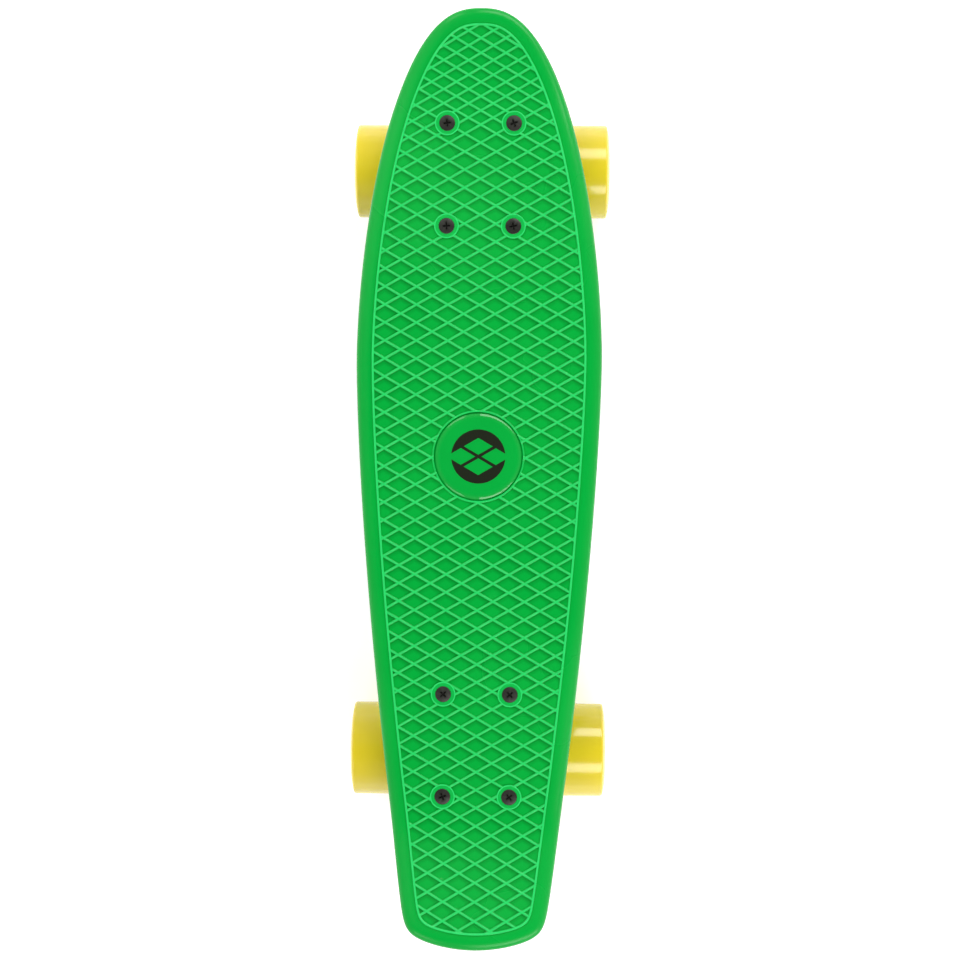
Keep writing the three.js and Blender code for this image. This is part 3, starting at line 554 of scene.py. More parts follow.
deckLow, deckHigh = boxOf("deck")
mountHeight = boxOf("baseplate_front")[1].z
deckShape = {
    "length": deckHigh.y - deckLow.y, "width": deckHigh.x - deckLow.x, "bottom": mountHeight + 0.3,
    "widestFromNose": 216, "tailWidth": 84.5, "tailBowRadius": 98,
    "noseSideShare": 1.72, "noseTipShare": 2.45, "tailTaperShare": 1.52, "tailCornerShare": 7.3,
    "edgeDepth": 11.5, "rollWidth": 8.4, "rollDepth": 5.5, "plate": 4,
    "skirtWall": 3, "skirtDraft": 0.4, "skirtToe": 1.2, "trayFillet": 1.5,
    "noseRise": 12, "noseRiseLength": 60, "kickLength": 73, "kickBend": 24, "kickAngleDeg": 18, "dish": 2.5,
    "noseRows": 40, "middleRows": 44, "bendRows": 10, "tailRows": 34, "columns": 16,
    "borderWidth": 9.6, "beadWidth": 1.7, "beadRise": 1.0,
    "padWidth": 62, "padLength": 86, "ribThickness": 2.4, "ribPitch": 62,
}
halfLength = deckShape["length"] / 2
halfWidth = deckShape["width"] / 2
widestY = halfLength - deckShape["widestFromNose"]
creaseY = deckShape["kickLength"] - halfLength
bendEnd = creaseY - deckShape["kickBend"] / 2
deckBottom = deckShape["bottom"]
deckTop = deckBottom + deckShape["edgeDepth"]
beadMiddle = deckShape["borderWidth"] + deckShape["beadWidth"] / 2
patternY = {end: sum(corner.y for corner in boxOf(f"baseplate_{end}")) / 2 for end in ("front", "rear")}
boltPlaces = {end: [middleOf(f"deck_bolt_{end}_{k}") for k in range(1, 5)] for end in patternY}


def noseWidthAt(y):
    along = min(1, max(0, (y - widestY) / (halfLength - widestY)))
    return halfWidth * (1 - along ** deckShape["noseSideShare"]) ** (1 / deckShape["noseTipShare"])


def tailWidthAt(y, inset):
    along = min(1, (widestY - y) / (widestY + halfLength))
    narrowing = (deckShape["width"] - deckShape["tailWidth"]) / 2
    side = halfWidth - narrowing * along ** deckShape["tailTaperShare"] - inset
    bowRadius = deckShape["tailBowRadius"] - inset
    fromTail = max(0, y + halfLength - inset)
    if fromTail >= bowRadius:
        return side
    bow = math.sqrt(2 * bowRadius * fromTail - fromTail ** 2)
    if bow < 1e-6:
        return 0
    corner = deckShape["tailCornerShare"]
    return (side ** -corner + bow ** -corner) ** (-1 / corner)


def halfWidthAt(y):
    return noseWidthAt(y) if y >= widestY else tailWidthAt(y, 0)


def bendAt(x, y):  # kick, nose rise and dish
    slope = math.tan(math.radians(deckShape["kickAngleDeg"]))
    bend = deckShape["kickBend"]
    past = creaseY + bend / 2 - y
    height = 0
    if past > 0:
        height = slope * past ** 2 / (2 * bend) if past < bend else slope * (past - bend / 2)
    noseReach = deckShape["noseRiseLength"]
    height += deckShape["noseRise"] * (max(0, y - halfLength + noseReach) / noseReach) ** 2
    low = patternY["rear"] + deckShape["padLength"] / 2
    high = patternY["front"] - deckShape["padLength"] / 2
    if low < y < high:
        across = 2 * (y - low) / (high - low) - 1
        share = min(1, abs(x) / halfWidthAt(y))
        height -= deckShape["dish"] * (1 - across ** 2) ** 2 * (1 - share ** 2)
    return height


def deckRows():  # from the nose to the tail, closer where the outline turns
    zone = 2 * deckShape["noseRiseLength"]
    bendTop = creaseY + deckShape["kickBend"] / 2
    nose, middle, bend, tail = (deckShape[n] for n in ("noseRows", "middleRows", "bendRows", "tailRows"))
    rows = [halfLength - zone * (i / nose) ** 2 for i in range(nose)]
    rows += [halfLength - zone + (bendTop - halfLength + zone) * i / middle for i in range(middle)]
    rows += [bendTop + (bendEnd - bendTop) * i / bend for i in range(bend)]
    return rows + [(bendEnd + halfLength) * (i / tail) ** 2 - halfLength for i in range(tail, -1, -1)]


rows = deckRows()


def insetPoint(y, inset):  # square to the curve at the nose, row by row at the tail
    if y < widestY:
        rowY = y + inset * max(0, 1 - (y + halfLength) / (bendEnd + halfLength))
        return tailWidthAt(rowY, inset), rowY
    if y >= halfLength - 1e-6:
        return 0, y - inset
    step = 0.02
    normal = Vector((2 * step, noseWidthAt(y - step) - noseWidthAt(y + step))).normalized()
    return noseWidthAt(y) - normal.x * inset, y - normal.y * inset


def deckLoft(name, layers, columns=1):  # layers are (inset, height), from the top down the outside
    points, faces = [], []
    last = len(rows) - 1
    size = 2 * last
    for inset, height in layers:
        right = [insetPoint(y, inset) for y in rows]
        outline = right + [(-x, y) for x, y in reversed(right[1:-1])]
        points += [(x, y, deckBottom + height + bendAt(x, y)) for x, y in outline]
    for k in range(len(layers) - 1):
        faces += strip(k * size, (k + 1) * size, size)
    for start, height in ((0, layers[0][1]), ((len(layers) - 1) * size, layers[-1][1])):
        lines = []
        for i in range(1, last):
            x, y = points[start + i][:2]
            line = [start + size - i]
            for c in range(1, columns):
                inner = x * (2 * c / columns - 1)
                line.append(len(points))
                points.append((inner, y, deckBottom + height + bendAt(inner, y)))
            lines.append(line + [start + i])
        for c in range(columns):
            faces.append([start, lines[0][c], lines[0][c + 1]])
            faces.append([lines[-1][c], start + last, lines[-1][c + 1]])
            for upper, lower in zip(lines, lines[1:]):
                faces.append([upper[c], lower[c], lower[c + 1], upper[c + 1]])
    return addMesh(name, points, faces)


def edgeLayers():  # bead, border, rolled edge, skirt and toe
    depth, border, bead, toe = (deckShape[n] for n in ("edgeDepth", "borderWidth", "beadWidth", "skirtToe"))
    beadArc = [(border + bead / 2 + bead / 2 * cosine, depth + deckShape["beadRise"] * sine ** 0.8)
               for sine, cosine in arc(8, math.pi)]
    roll = [(deckShape["rollWidth"] * (1 - sine), depth - deckShape["rollDepth"] * (1 - cosine))
            for sine, cosine in arc(11)]
    toeArc = [(toe * (1 - cosine), toe * (1 - sine)) for sine, cosine in arc(4)]
    return [(border + bead + 0.3, depth)] + beadArc + [(border - 0.4, depth)] + roll + toeArc


def underTray():
    roof, fillet = deckShape["edgeDepth"] - deckShape["plate"], deckShape["trayFillet"]
    wall, draft = deckShape["skirtWall"], deckShape["skirtDraft"]
    layers = [(wall + draft + fillet * (1 - sine), roof - fillet * (1 - cosine)) for sine, cosine in arc(4)]
    return deckLoft("tray", layers + [(wall, -5)], deckShape["columns"])


def deckRibs():
    wide, long, pitch = deckShape["padWidth"] / 2, deckShape["padLength"] / 2, deckShape["ribPitch"]
    half, top = deckShape["ribThickness"] / 2, 2 * deckTop
    ribs = [block("pad", (-wide, y - long, 0), (wide, y + long, top)) for y in patternY.values()]
    for x in (-pitch / 2, pitch / 2):
        ribs.append(block("spar", (x - half, -halfLength, 0), (x + half, halfLength, top)))
    count = math.floor(halfLength / pitch)
    for y in (k * pitch for k in range(-count, count + 1)):
        ribs.append(block("rib", (-halfWidth, y - half, 0), (halfWidth, y + half, top)))
    return ribs


def gripCrossings():  # where the ridges meet along the middle of the deck, and past its ends
    reach = halfLength + 60
    crossings = []
    y = grip["pitchChangeY"]
    while y > -reach:
        crossings.append(y)
        y -= grip["pitch"]
    y = grip["pitchChangeY"] + grip["nosePitch"]
    while y < reach:
        crossings.append(y)
        y += grip["nosePitch"]
    return crossings


def gripRidges(side):
    tilt = math.radians(grip["tiltDeg"])
    slope = side * math.tan(tilt)
    size = len(grip["section"])
    points, faces = [], []
    for crossing in gripCrossings():
        limits = sorted(((-halfLength - crossing) / slope, (halfLength - crossing) / slope))
        start, end = max(-halfWidth, limits[0]), min(halfWidth, limits[1])
        if end - start < grip["step"]:
            continue
        count = math.ceil((end - start) / grip["step"])
        first = len(points)
        for i in range(count + 1):
            x = start + (end - start) * i / count
            for across, up in grip["section"]:
                px = x - side * math.sin(tilt) * across
                py = crossing + slope * x + math.cos(tilt) * across
                points.append((px, py, deckTop + up + bendAt(px, py)))
        faces += tube(size, count, first)
    return addMesh("ridges", points, faces)


# tone caps the painted highlight on the flat faces of the bosses
bolt = {
    "radius": 2.4, "headRadius": 4.8, "rim": 0.5, "rise": 1.1, "bossRadius": 7.7, "groove": 6.8, "sunk": 0.25,
    "tone": 0.55, "clear": 0.2, "length": 25.4, "thread": (0.4, 17, 0.8, 0.4),
    "turnsDeg": {"front": (8, 22, 5, 12), "rear": (38, 20, 42, 45)},
}
boltTop = deckTop + bolt["rise"]


def boss(x, y):
    radius, groove, foot, low = bolt["bossRadius"], bolt["groove"], deckTop - 1.6, boltTop - bolt["sunk"]
    profile = rounded([(0, foot, 0), (radius, foot, 0), (radius, boltTop, 0.3), (groove + 0.2, boltTop, 0.15),
                       (groove, low, 0.1), (0, low, 0)], 4, False)
    return turned("boss", profile, 56, shift(x, y, 0))


def boltHole(x, y):
    hole, mouth = bolt["radius"] + bolt["clear"], bolt["headRadius"] + bolt["clear"]
    coneTop = boltTop - bolt["rim"] - bolt["clear"]
    low, high, edge = deckBottom - 5, deckTop + 5, 0.25
    profile = [(0, low), (hole, low), (hole, coneTop - mouth + hole), (mouth, coneTop),
               (mouth, boltTop - edge), (mouth + edge, boltTop), (mouth + edge, high), (0, high)]
    return turned("hole", profile, 40, shift(x, y, 0))


badgeSurface = deckTop + bendAt(0, badgeCentre.y)
badgeFloor, badgeRim = badgeSurface - badge["recess"], badgeSurface + badge["rise"]
badgeHole = badge["radius"] + badge["clear"]
onBadge = shift(badgeCentre.x, badgeCentre.y, 0)


def badgeRing():
    radii = (badgeHole - 1, badgeHole + badge["ringWidth"])
    return ringOf("ring", radii, (badgeFloor, badgeRim), (0, 0, 0.55, 0), 5, 120, onBadge)


def badgeSeat():
    mouth, high = badgeHole + 0.3, badgeSurface + 5
    profile = [(0, badgeFloor), (badgeHole, badgeFloor), (badgeHole, badgeRim - 0.4), (mouth, badgeRim),
               (mouth, high), (0, high)]
    return turned("seat", profile, 120, onBadge)


gripOutline = sorted(tuple(reversed(insetPoint(y, beadMiddle))) for y in rows)


def gripEdgeAt(y):  # half width of the grip inside the bead, 0 past its ends
    k = bisect.bisect(gripOutline, (y, 0))
    if k in (0, len(gripOutline)):
        return 0
    (lowY, lowX), (highY, highX) = gripOutline[k - 1], gripOutline[k]
    return lowX + (highX - lowX) * (y - lowY) / (highY - lowY)


def reliefOf(piece, spots):  # how far each point stands above the floor of the grip, and which are in it
    relief = piece.data.attributes.new("relief", "FLOAT", "POINT")
    area = piece.data.attributes.new("gripArea", "FLOAT", "POINT")
    for i, point in enumerate(piece.data.vertices):
        x, y, z = point.co / millimetre
        rise = (z - deckTop - bendAt(x, y)) / deckShape["beadRise"]
        onBoss = any(math.hypot(x - spot.x, y - spot.y) < bolt["groove"] + 0.05 for spot in spots)
        # relief sets the painted highlight on raised tops and keeps the painted shade to the cell floors; on
        # boss faces it stops at bolt tone, for a fainter painted highlight
        relief.data[i].value = max(0, min(bolt["tone"] if onBoss else 1, rise))
        area.data[i].value = 1 if rise > -0.5 and abs(x) < gripEdgeAt(y) else 0


def makeDeck():
    deck = deckLoft("deckBoard", edgeLayers(), deckShape["columns"])
    cut(deck, cut(underTray(), *deckRibs()))
    span = deckLoft("span", [(beadMiddle, deckShape["edgeDepth"] + up) for up in (5, -5)])
    ridges = common(join(gripRidges(1), gripRidges(-1)), span)
    spots = [spot for end in patternY for spot in boltPlaces[end]]
    join(deck, ridges, badgeRing(), *[boss(spot.x, spot.y) for spot in spots])
    cut(deck, badgeSeat(), *[boltHole(spot.x, spot.y) for spot in spots])
    reliefOf(deck, spots)
    dress(deck, "deck_plastic", "deckPlastic")
    seat(deck, "deck", "root")
    print("deck:", len(deck.data.polygons), "faces")


def makeBadge():  # nearly flat dome with a round shoulder
    low, high = (corner.z for corner in boxOf("badge"))
    radius, shoulder, crown = (badge[n] for n in ("radius", "shoulder", "crown"))
    edgeSlope = math.radians(badge["edgeSlopeDeg"])
    flat = radius - shoulder * math.sin(edgeSlope)
    profile = [(0, high), (flat * 0.5, high - crown * 0.25)]
    profile += [(flat + shoulder * sine, high - crown - shoulder * (1 - cosine))
                for sine, cosine in arc(12, edgeSlope)]
    profile += [(radius, low + 0.2), (radius - 0.2, low), (0, low)]
    dome = turned("badgeDome", profile, 120, onBadge)
    seat(dress(dome, "badge_resin", "badgeResin"), "badge", "root")


makeDeck()
makeBadge()

# Trucks are made once, in a frame where +Y points away from the middle of the board and z = 0 is the
# mounting face, and then placed at each end.
truck = {
    "leanDeg": 22, "kingpinInset": 4, "bossReach": 15, "gap": 0.3, "washer": 1.5, "barrel": 11.9, "cone": 10,
    "ring": 7, "ringSeat": 1.3, "pivotOut": 24, "pivotDrop": 12, "axleOut": 9.3, "axleDrop": 49.5,
}
lean = math.radians(truck["leanDeg"])
kingpinStart = Vector((0, -truck["kingpinInset"], 0))
kingpinWay = Vector((0, -math.sin(lean), -math.cos(lean)))
topWasherStart = truck["bossReach"] + truck["gap"]
barrelStart = topWasherStart + truck["washer"] + truck["gap"]
ringStart = barrelStart + truck["barrel"] + truck["gap"] - truck["ringSeat"]
ringEnd = ringStart + truck["ring"]
coneStart = ringEnd - truck["ringSeat"] + truck["gap"]
lowWasherStart = coneStart + truck["cone"] + truck["gap"]
nutStart = lowWasherStart + truck["washer"] + truck["gap"]
ringCentre = kingpinStart + kingpinWay * (ringStart + ringEnd) / 2
pivotPoint = Vector((0, truck["pivotOut"], -truck["pivotDrop"]))
pivotWay = (pivotPoint - ringCentre).normalized()
pivotReach = (pivotPoint - ringCentre).length


def turnAbout(axis, angleDeg=180):
    return Matrix.Rotation(math.radians(angleDeg), 4, axis)


def pointing(start, way):
    turn = Vector((0, 0, 1)).rotation_difference(way)
    return Matrix.Translation(start * millimetre) @ turn.to_matrix().to_4x4()


onKingpin = pointing(kingpinStart, kingpinWay)
onPivot = pointing(ringCentre, pivotWay)
onAxle = shift(0, truck["axleOut"], -truck["axleDrop"]) @ turnAbout("Y", 90)
atEnd = {
    "front": shift(0, patternY["front"], mountHeight),
    "rear": shift(0, patternY["rear"], mountHeight) @ turnAbout("Z"),
}


def placed(piece, name, matrix):  # a copy of a piece, moved into the board
    copy = addObject(name, piece.data.copy())
    for key in piece.keys():
        copy[key] = piece[key]
    return moved(copy, matrix)


def softCast(piece, voxel, passes):  # fillets every corner as a casting has
    melt = piece.modifiers.new("melt", "REMESH")
    melt.mode = "VOXEL"
    melt.voxel_size = voxel * millimetre
    ease = piece.modifiers.new("ease", "SMOOTH")
    ease.factor = 0.5
    ease.iterations = passes
    return settle(piece)


def sideShape(name, outline, halfSpan):  # prism across the board, from places in y and z
    upright = Matrix(((0, 0, 1, 0), (1, 0, 0, 0), (0, 1, 0, 0), (0, 0, 0, 1)))
    return moved(prism(name, outline, -halfSpan, halfSpan), upright)


def byKingpin(reach, offset):
    side = Vector((0, math.cos(lean), -math.sin(lean)))
    return (kingpinStart + kingpinWay * reach + side * offset).yz


def byPivot(reach, offset):
    side = Vector((0, -pivotWay.z, pivotWay.y))
    return (ringCentre + pivotWay * reach + side * offset).yz


def byAxle(angleDeg, radius):
    angle = math.radians(angleDeg)
    return (truck["axleOut"] + radius * math.cos(angle), radius * math.sin(angle) - truck["axleDrop"])


base = {
    "width": 54.4, "length": 79.4, "thickness": 5.8, "corner": 9, "bossRadius": 11, "bossRoot": 14.2,
    "cupRadius": 7.4, "cupWall": 2.8, "cupMouth": 4, "cupFloor": 1.6, "headAcross": 14.3, "pinBore": 5.1,
    "cupBore": 7.7, "boltBore": 2.75, "web": [(-12, -5), (24, -5), (18, -9), (-2, -13)], "webHalf": 2.2,
    "voxel": 0.75, "passes": 8,
}
cup = {"outer": 7.35, "inner": 5.3, "lip": 0.4}
cupEnd = pivotReach + cup["inner"] + base["cupFloor"]


def makeBaseplate():
    corners = [(base["width"] / 2 * i, base["length"] / 2 * j, base["corner"])
               for i, j in ((-1, -1), (1, -1), (1, 1), (-1, 1))]
    plate = prism("plate", rounded(corners, 8), -base["thickness"], 0)
    reach = truck["bossReach"]
    profile = [(0, 0), (base["bossRoot"], 0), (base["bossRoot"], 3), (base["bossRadius"], reach), (0, reach)]
    post = turned("post", profile, 72, onKingpin)
    radius = base["cupRadius"] + base["cupWall"] - 0.15
    low, high = pivotReach - base["cupMouth"], cupEnd + base["cupWall"] - 0.2
    tube = cylinder("tube", radius, low, high, 72, onPivot)
    roof = truck["pivotDrop"] + radius
    sides = [byPivot(*spot) for spot in ((low, 0), (high, 0), (high, roof), (low, roof))]
    hump = sideShape("hump", sides, radius)
    join(plate, post, tube, hump, sideShape("web", base["web"], base["webHalf"]))
    big = 60
    cut(plate, block("above", (-big, -big, -0.01), (big, big, big)))
    softCast(plate, base["voxel"], base["passes"])
    # the softened top is cut flat and covered with a crisp mounting face
    cut(plate, block("above", (-big, -big, -0.35), (big, big, big)))
    join(plate, prism("skin", rounded([(x * 0.995, y * 0.995, r) for x, y, r in corners], 8), -0.9, 0))
    tools = [
        cylinder("headSeat", cornerOf(base["headAcross"]) + 0.3, -9, 9.3, 48, onKingpin),
        cylinder("pinBore", base["pinBore"], 0, 60, 40, onKingpin),
        cylinder("cupBore", base["cupBore"], 0, cupEnd + 0.3, 56, onPivot),
    ]
    tools += [cylinder("hole", base["boltBore"], -20, 5, 32, shift(place.x, place.y - patternY["front"], 0))
              for place in boltPlaces["front"]]
    return dress(cut(plate, *tools), "cast_aluminium", "castAluminium")


hanger = {
    "shoulder": 41, "housing": 8.4, "shoulderRadius": 7, "shoulderLength": 8, "ringRadius": 13,
    "ringBore": 6.8, "seat": 9.8, "wing": 29, "neck": 11.5, "top": 8.5, "stubLength": 12, "stubRadius": 5,
    "stubRise": 4.9, "neckRadius": 7, "axleBore": 4.35, "voxel": 0.75, "passes": 16,
}


def makeHanger():
    end, taper = hanger["shoulder"] - 0.3, hanger["shoulderLength"]
    shoulder, tubeRadius = hanger["shoulderRadius"], hanger["housing"]
    profile = [(0, -end), (shoulder, -end), (tubeRadius, taper - end), (tubeRadius, end - taper),
               (shoulder, end), (0, end)]
    housing = turned("housing", profile, 56, onAxle)
    root, stubRadius, neckRadius = (pivotReach - hanger["stubLength"], hanger["stubRadius"],
                                    hanger["neckRadius"])
    neckEnd = pivotReach - 5.5
    profile = [(0, root - 7), (neckRadius, root - 7), (neckRadius, root), (stubRadius + 0.6, neckEnd),
               (0, neckEnd)]
    neck = turned("neck", profile, 48, onPivot)
    tuck = hanger["ringRadius"] - 7 / 3
    web = sideShape("web", [
        byKingpin(ringStart + 1.3, tuck), byPivot(root - 14, -3.5), byPivot(root, 5), byPivot(root + 3.5, -5),
        byAxle(20, 8.4), byAxle(-75, 8.4), byAxle(195, 8.4), byKingpin(ringEnd - 0.65, tuck)], hanger["wing"])
    low, floor = 2.1 - truck["axleDrop"], -truck["axleDrop"] - 16.8
    half = [(hanger["top"], -8), (hanger["neck"], ringCentre.z - 4.2), (hanger["wing"], low),
            (hanger["wing"], floor)]
    front = prism("front", half + [(-x, z) for x, z in reversed(half)], -80, 80)
    common(web, moved(front, turnAbout("X", 90)))
    ring = cylinder("ring", hanger["ringRadius"] - 0.2, ringStart, ringEnd, 72, onKingpin)
    join(housing, neck, web, ring)
    softCast(housing, hanger["voxel"], hanger["passes"])
    stub = rounded([(0, root, 0), (stubRadius - 0.05, root, 0), (stubRadius - 0.05, pivotReach, 0)], 1, False)
    stub += [(stubRadius * cosine * 0.99, pivotReach + hanger["stubRise"] * sine)
             for sine, cosine in arc(8, first=1)]
    stub[-1] = (0, pivotReach + hanger["stubRise"])
    join(housing, turned("stub", stub, 48, onPivot))
    seatRadius, room, deep = hanger["seat"], hanger["ringRadius"] - 0.6, truck["ringSeat"]
    tools = [("bore", hanger["ringBore"], 0, 60), ("seatTop", seatRadius, 0, ringStart + deep),
             ("roomTop", room, 0, ringStart), ("seatLow", seatRadius, ringEnd - deep, 60),
             ("roomLow", room, ringEnd, 60)]
    cut(housing, *[cylinder(*tool, 64, onKingpin) for tool in tools],
        cylinder("axleBore", hanger["axleBore"], -80, 80, 40, onAxle))
    return dress(housing, "cast_aluminium", "castAluminium")


kingpin = {"radius": 4.76, "length": 49.5, "start": 6.5, "headTop": 4, "headFoot": 9,
           "thread": (28, 49.3, 1.06, 0.5)}


def makeKingpin():
    across, low, high = base["headAcross"], kingpin["headTop"], kingpin["headFoot"]
    head = prism("head", hexPoints(across), low, high)
    corner = cornerOf(across)
    profile = [(0, low), (across / 2 * 0.96, low), (corner, low + 1), (corner, high), (0, high)]
    common(head, turned("dome", profile, 72))
    shank = threadedRod("shank", kingpin["radius"], kingpin["length"], [kingpin["thread"]])
    return moved(join(head, moved(shank, shift(0, 0, kingpin["start"]))), onKingpin)


bushing = {"bore": 5.2, "end": 9.4, "belly": 10.6, "bellyRadius": 6, "tip": 7.6, "step": 1.3,
           "washerRadius": 10.4}


def makeWasher(start):  # holds the end of its bushing
    radii, heights = (bushing["bore"], bushing["washerRadius"]), (start, start + truck["washer"])
    return ringOf("washer", radii, heights, (0.2, 0.4, 0.4, 0.2), 3, 72, onKingpin)


def makeBarrel():
    bore, wide, start, end = bushing["bore"], bushing["end"], barrelStart, barrelStart + truck["barrel"]
    belly = (bushing["belly"], (start + end) / 2, bushing["bellyRadius"])
    profile = rounded([(bore, start, 0.3), (wide, start, 0.8), belly, (wide, end, 0.8), (bore, end, 0.3)], 5)
    return turned("barrel", profile, 72, onKingpin)


def makeCone():
    bore, wide, start, end = bushing["bore"], bushing["end"], coneStart, coneStart + truck["cone"]
    profile = rounded([(bore, start, 0.3), (wide, start, 0.5), (wide, start + bushing["step"], 1),
                       (bushing["tip"], end, 0.9), (bore, end, 0.3)], 5)
    return turned("cone", profile, 72, onKingpin)


def makeCup():
    outer, inner, lip, mouth = cup["outer"], cup["inner"], cup["lip"], pivotReach - base["cupMouth"]
    floor = [(inner * cosine, pivotReach + inner * sine) for sine, cosine in arc(8, first=1)[:-1]]
    profile = [(0, pivotReach + inner)] + floor[::-1] + [
        (inner, pivotReach), (inner, mouth + lip), (inner + lip, mouth), (outer - lip, mouth),
        (outer, mouth + lip), (outer, cupEnd), (0, cupEnd)]
    return turned("cup", profile, 64, onPivot)


axle = {"radius": 4, "end": 76.3, "washerRadius": 6.1, "washer": 1, "gap": 0.3, "bearing": 7, "spacer": 10,
        "spacerRadii": (4.3, 5.55), "threadPitch": 1.06, "threadDepth": 0.45}
innerWasher = hanger["shoulder"] + axle["gap"]
innerBearing = innerWasher + axle["washer"] + axle["gap"]
spacerStart = innerBearing + axle["bearing"] + axle["gap"]
outerBearing = spacerStart + axle["spacer"] + axle["gap"]
outerWasher = outerBearing + axle["bearing"] + axle["gap"]
axleNut = outerWasher + axle["washer"] + axle["gap"]


def makeAxle():
    end, thread = axle["end"], (axle["threadPitch"], axle["threadDepth"])
    threads = [(0.6, 10, *thread), (2 * end - 10, 2 * end - 0.6, *thread)]
    rod = moved(threadedRod("rod", axle["radius"] - 0.03, 2 * end, threads), shift(0, 0, -end))
    for side in (-1, 1):
        for start in (innerWasher, outerWasher):
            heights = sorted((side * start, side * (start + axle["washer"])))
            join(rod, ringOf("washer", (2, axle["washerRadius"]), heights, (0, 0.2, 0.2, 0), 3, 56))
    return moved(rod, onAxle)


bearing = {"outer": 10.95, "inner": 4.2, "width": 7, "raceWall": 1.9, "shieldDepth": 0.35}


def makeBearing(start):  # races, and shields set back between them
    outer, inner, width = bearing["outer"], bearing["inner"], bearing["width"]
    wall, deep = bearing["raceWall"], bearing["shieldDepth"]
    profile = rounded([
        (inner, 0, 0.3), (inner + wall, 0, 0.15), (inner + wall, deep, 0), (outer - wall, deep, 0),
        (outer - wall, 0, 0.15), (outer, 0, 0.45), (outer, width, 0.45), (outer - wall, width, 0.15),
        (outer - wall, width - deep, 0), (inner + wall, width - deep, 0), (inner + wall, width, 0.15),
        (inner, width, 0.3)], 3)
    ringPiece = dress(turned("bearing", profile, 72), "bearing_steel", "bearingSteel", "bearingShield")
    for face in ringPiece.data.polygons:
        reach = face.center.xy.length / millimetre
        level = face.center.z / millimetre
        shield = inner + wall + 0.1 < reach < outer - wall - 0.1
        face.material_index = 1 if shield and 0 < level < width else 0
    return moved(moved(ringPiece, shift(0, 0, start)), onAxle)


def makeSpacer():
    heights = (spacerStart, spacerStart + axle["spacer"])
    return ringOf("spacer", axle["spacerRadii"], heights, (0.2, 0.3, 0.3, 0.2), 3, 48, onAxle)


wheel = {"radius": 29.6, "width": 45, "lip": 6.4, "innerMouth": 15, "outerMouth": 19.5, "hubBore": 9,
         "seat": 11.25}


def makeWheel():  # tread with rounded lips, sides that fall away from the hub, and two bearing seats
    radius, hole, bore, mouth = wheel["radius"], wheel["seat"], wheel["hubBore"], wheel["outerMouth"]
    inner = innerBearing - wheel["lip"]
    outer = inner + wheel["width"]
    seatIn, seatOut = innerBearing - 0.3, outerBearing + axle["bearing"] + 0.3
    profile = rounded([
        (wheel["innerMouth"], inner + 0.1, 1.2), (22, inner + 0.25, 4), (radius - 1.6, inner + 1.6, 3),
        (radius, inner + 4.6, 2.2), (radius, outer - 2.7, 0.7), (radius - 0.5, outer - 1.7, 0.9),
        (24.5, outer - 0.55, 6), (mouth, outer - 0.05, 1.2), (mouth - 2.5, outer - 3.5, 2),
        (14.5, seatOut + 2.2, 2), (13.2, seatOut + 0.3, 0.4), (hole + 0.4, seatOut, 0.1),
        (hole, seatOut - 0.4, 0.1), (hole, outerBearing - 0.3, 0), (bore, outerBearing - 0.3, 0.2),
        (bore, spacerStart, 0.2), (hole, spacerStart, 0), (hole, seatIn + 0.4, 0.1),
        (hole + 0.4, seatIn, 0.1), (13, seatIn - 0.2, 0.4)], 6)
    return moved(dress(turned("wheel", profile, 144), "wheel_urethane", "wheelUrethane"), onAxle)


def crossRecess(top):  # tapered cross for the driver
    arms = []
    for turn in (0, 90):
        points = []
        for z, half, thick in ((top + 0.5, 2.75, 0.62), (top - 1.9, 1.0, 0.42)):
            points += [(-half, -thick, z), (half, -thick, z), (half, thick, z), (-half, thick, z)]
        arms.append(moved(addMesh("arm", points, tube(4, 1)), turnAbout("Z", turn)))
    return join(*arms)


def makeBolt():
    radius, headRadius, length = bolt["radius"], bolt["headRadius"], bolt["length"]
    top = boltTop - mountHeight
    coneTop = top - bolt["rim"]
    coneEnd = coneTop - headRadius + radius
    shank = threadedRod("shank", radius - 0.02, coneEnd + 0.5 - top + length, [bolt["thread"]], 0.4, 24)
    head = turned("head", [(0, top), (headRadius - 0.35, top), (headRadius, top - 0.2), (headRadius, coneTop),
                           (radius, coneEnd), (radius - 0.3, coneEnd - 0.3), (0, coneEnd - 0.3)], 56)
    join(head, moved(shank, shift(0, 0, top - length)))
    return dress(cut(head, crossRecess(top)), "black_steel", "blackSteel")


nuts = {  # width across flats, bore, height, height of the collar
    "kingpin": (14.3, 4.95, 8, 2.2), "axle": (12.7, 4.25, 6, 1.6), "deckBolt": (8, 2.6, 5, 1.3),
}


def makeNut(name, slotName, look):  # chamfered hexagon, round collar and nylon insert
    across, bore, height, collar = nuts[name]
    corner, hexTop, face, rim = cornerOf(across), height - collar, across / 2 * 0.97, across * 0.44
    drop, foot = (corner - across / 2) * 0.75, hexTop - 0.5
    nut = prism("nut", hexPoints(across), 0, hexTop)
    profile = [(0, 0), (face, 0), (corner + 0.1, drop), (corner + 0.1, hexTop - drop), (face, hexTop),
               (0, hexTop)]
    common(nut, turned("dome", profile, 72))
    profile = rounded([(0, foot, 0), (rim, foot, 0), (rim, height, collar * 0.45), (0, height, 0)], 4, False)
    join(nut, turned("collar", profile, 72))
    cut(nut, turned("hole", [(0, -1), (bore + 0.45, -1), (bore + 0.45, 0), (bore, 0.45), (bore, height + 1),
                             (0, height + 1)], 40))
    insert = ringOf("insert", (bore + 0.02, rim - 0.75), (height - 1, height - 0.12), (0, 0, 0.2, 0.2), 3, 48)
    dress(nut, slotName, look)
    dress(insert, slotName, "nylonInsert")
    with bpy.context.temp_override(active_object=nut, selected_editable_objects=[nut, insert]):
        bpy.ops.object.join()
    return nut


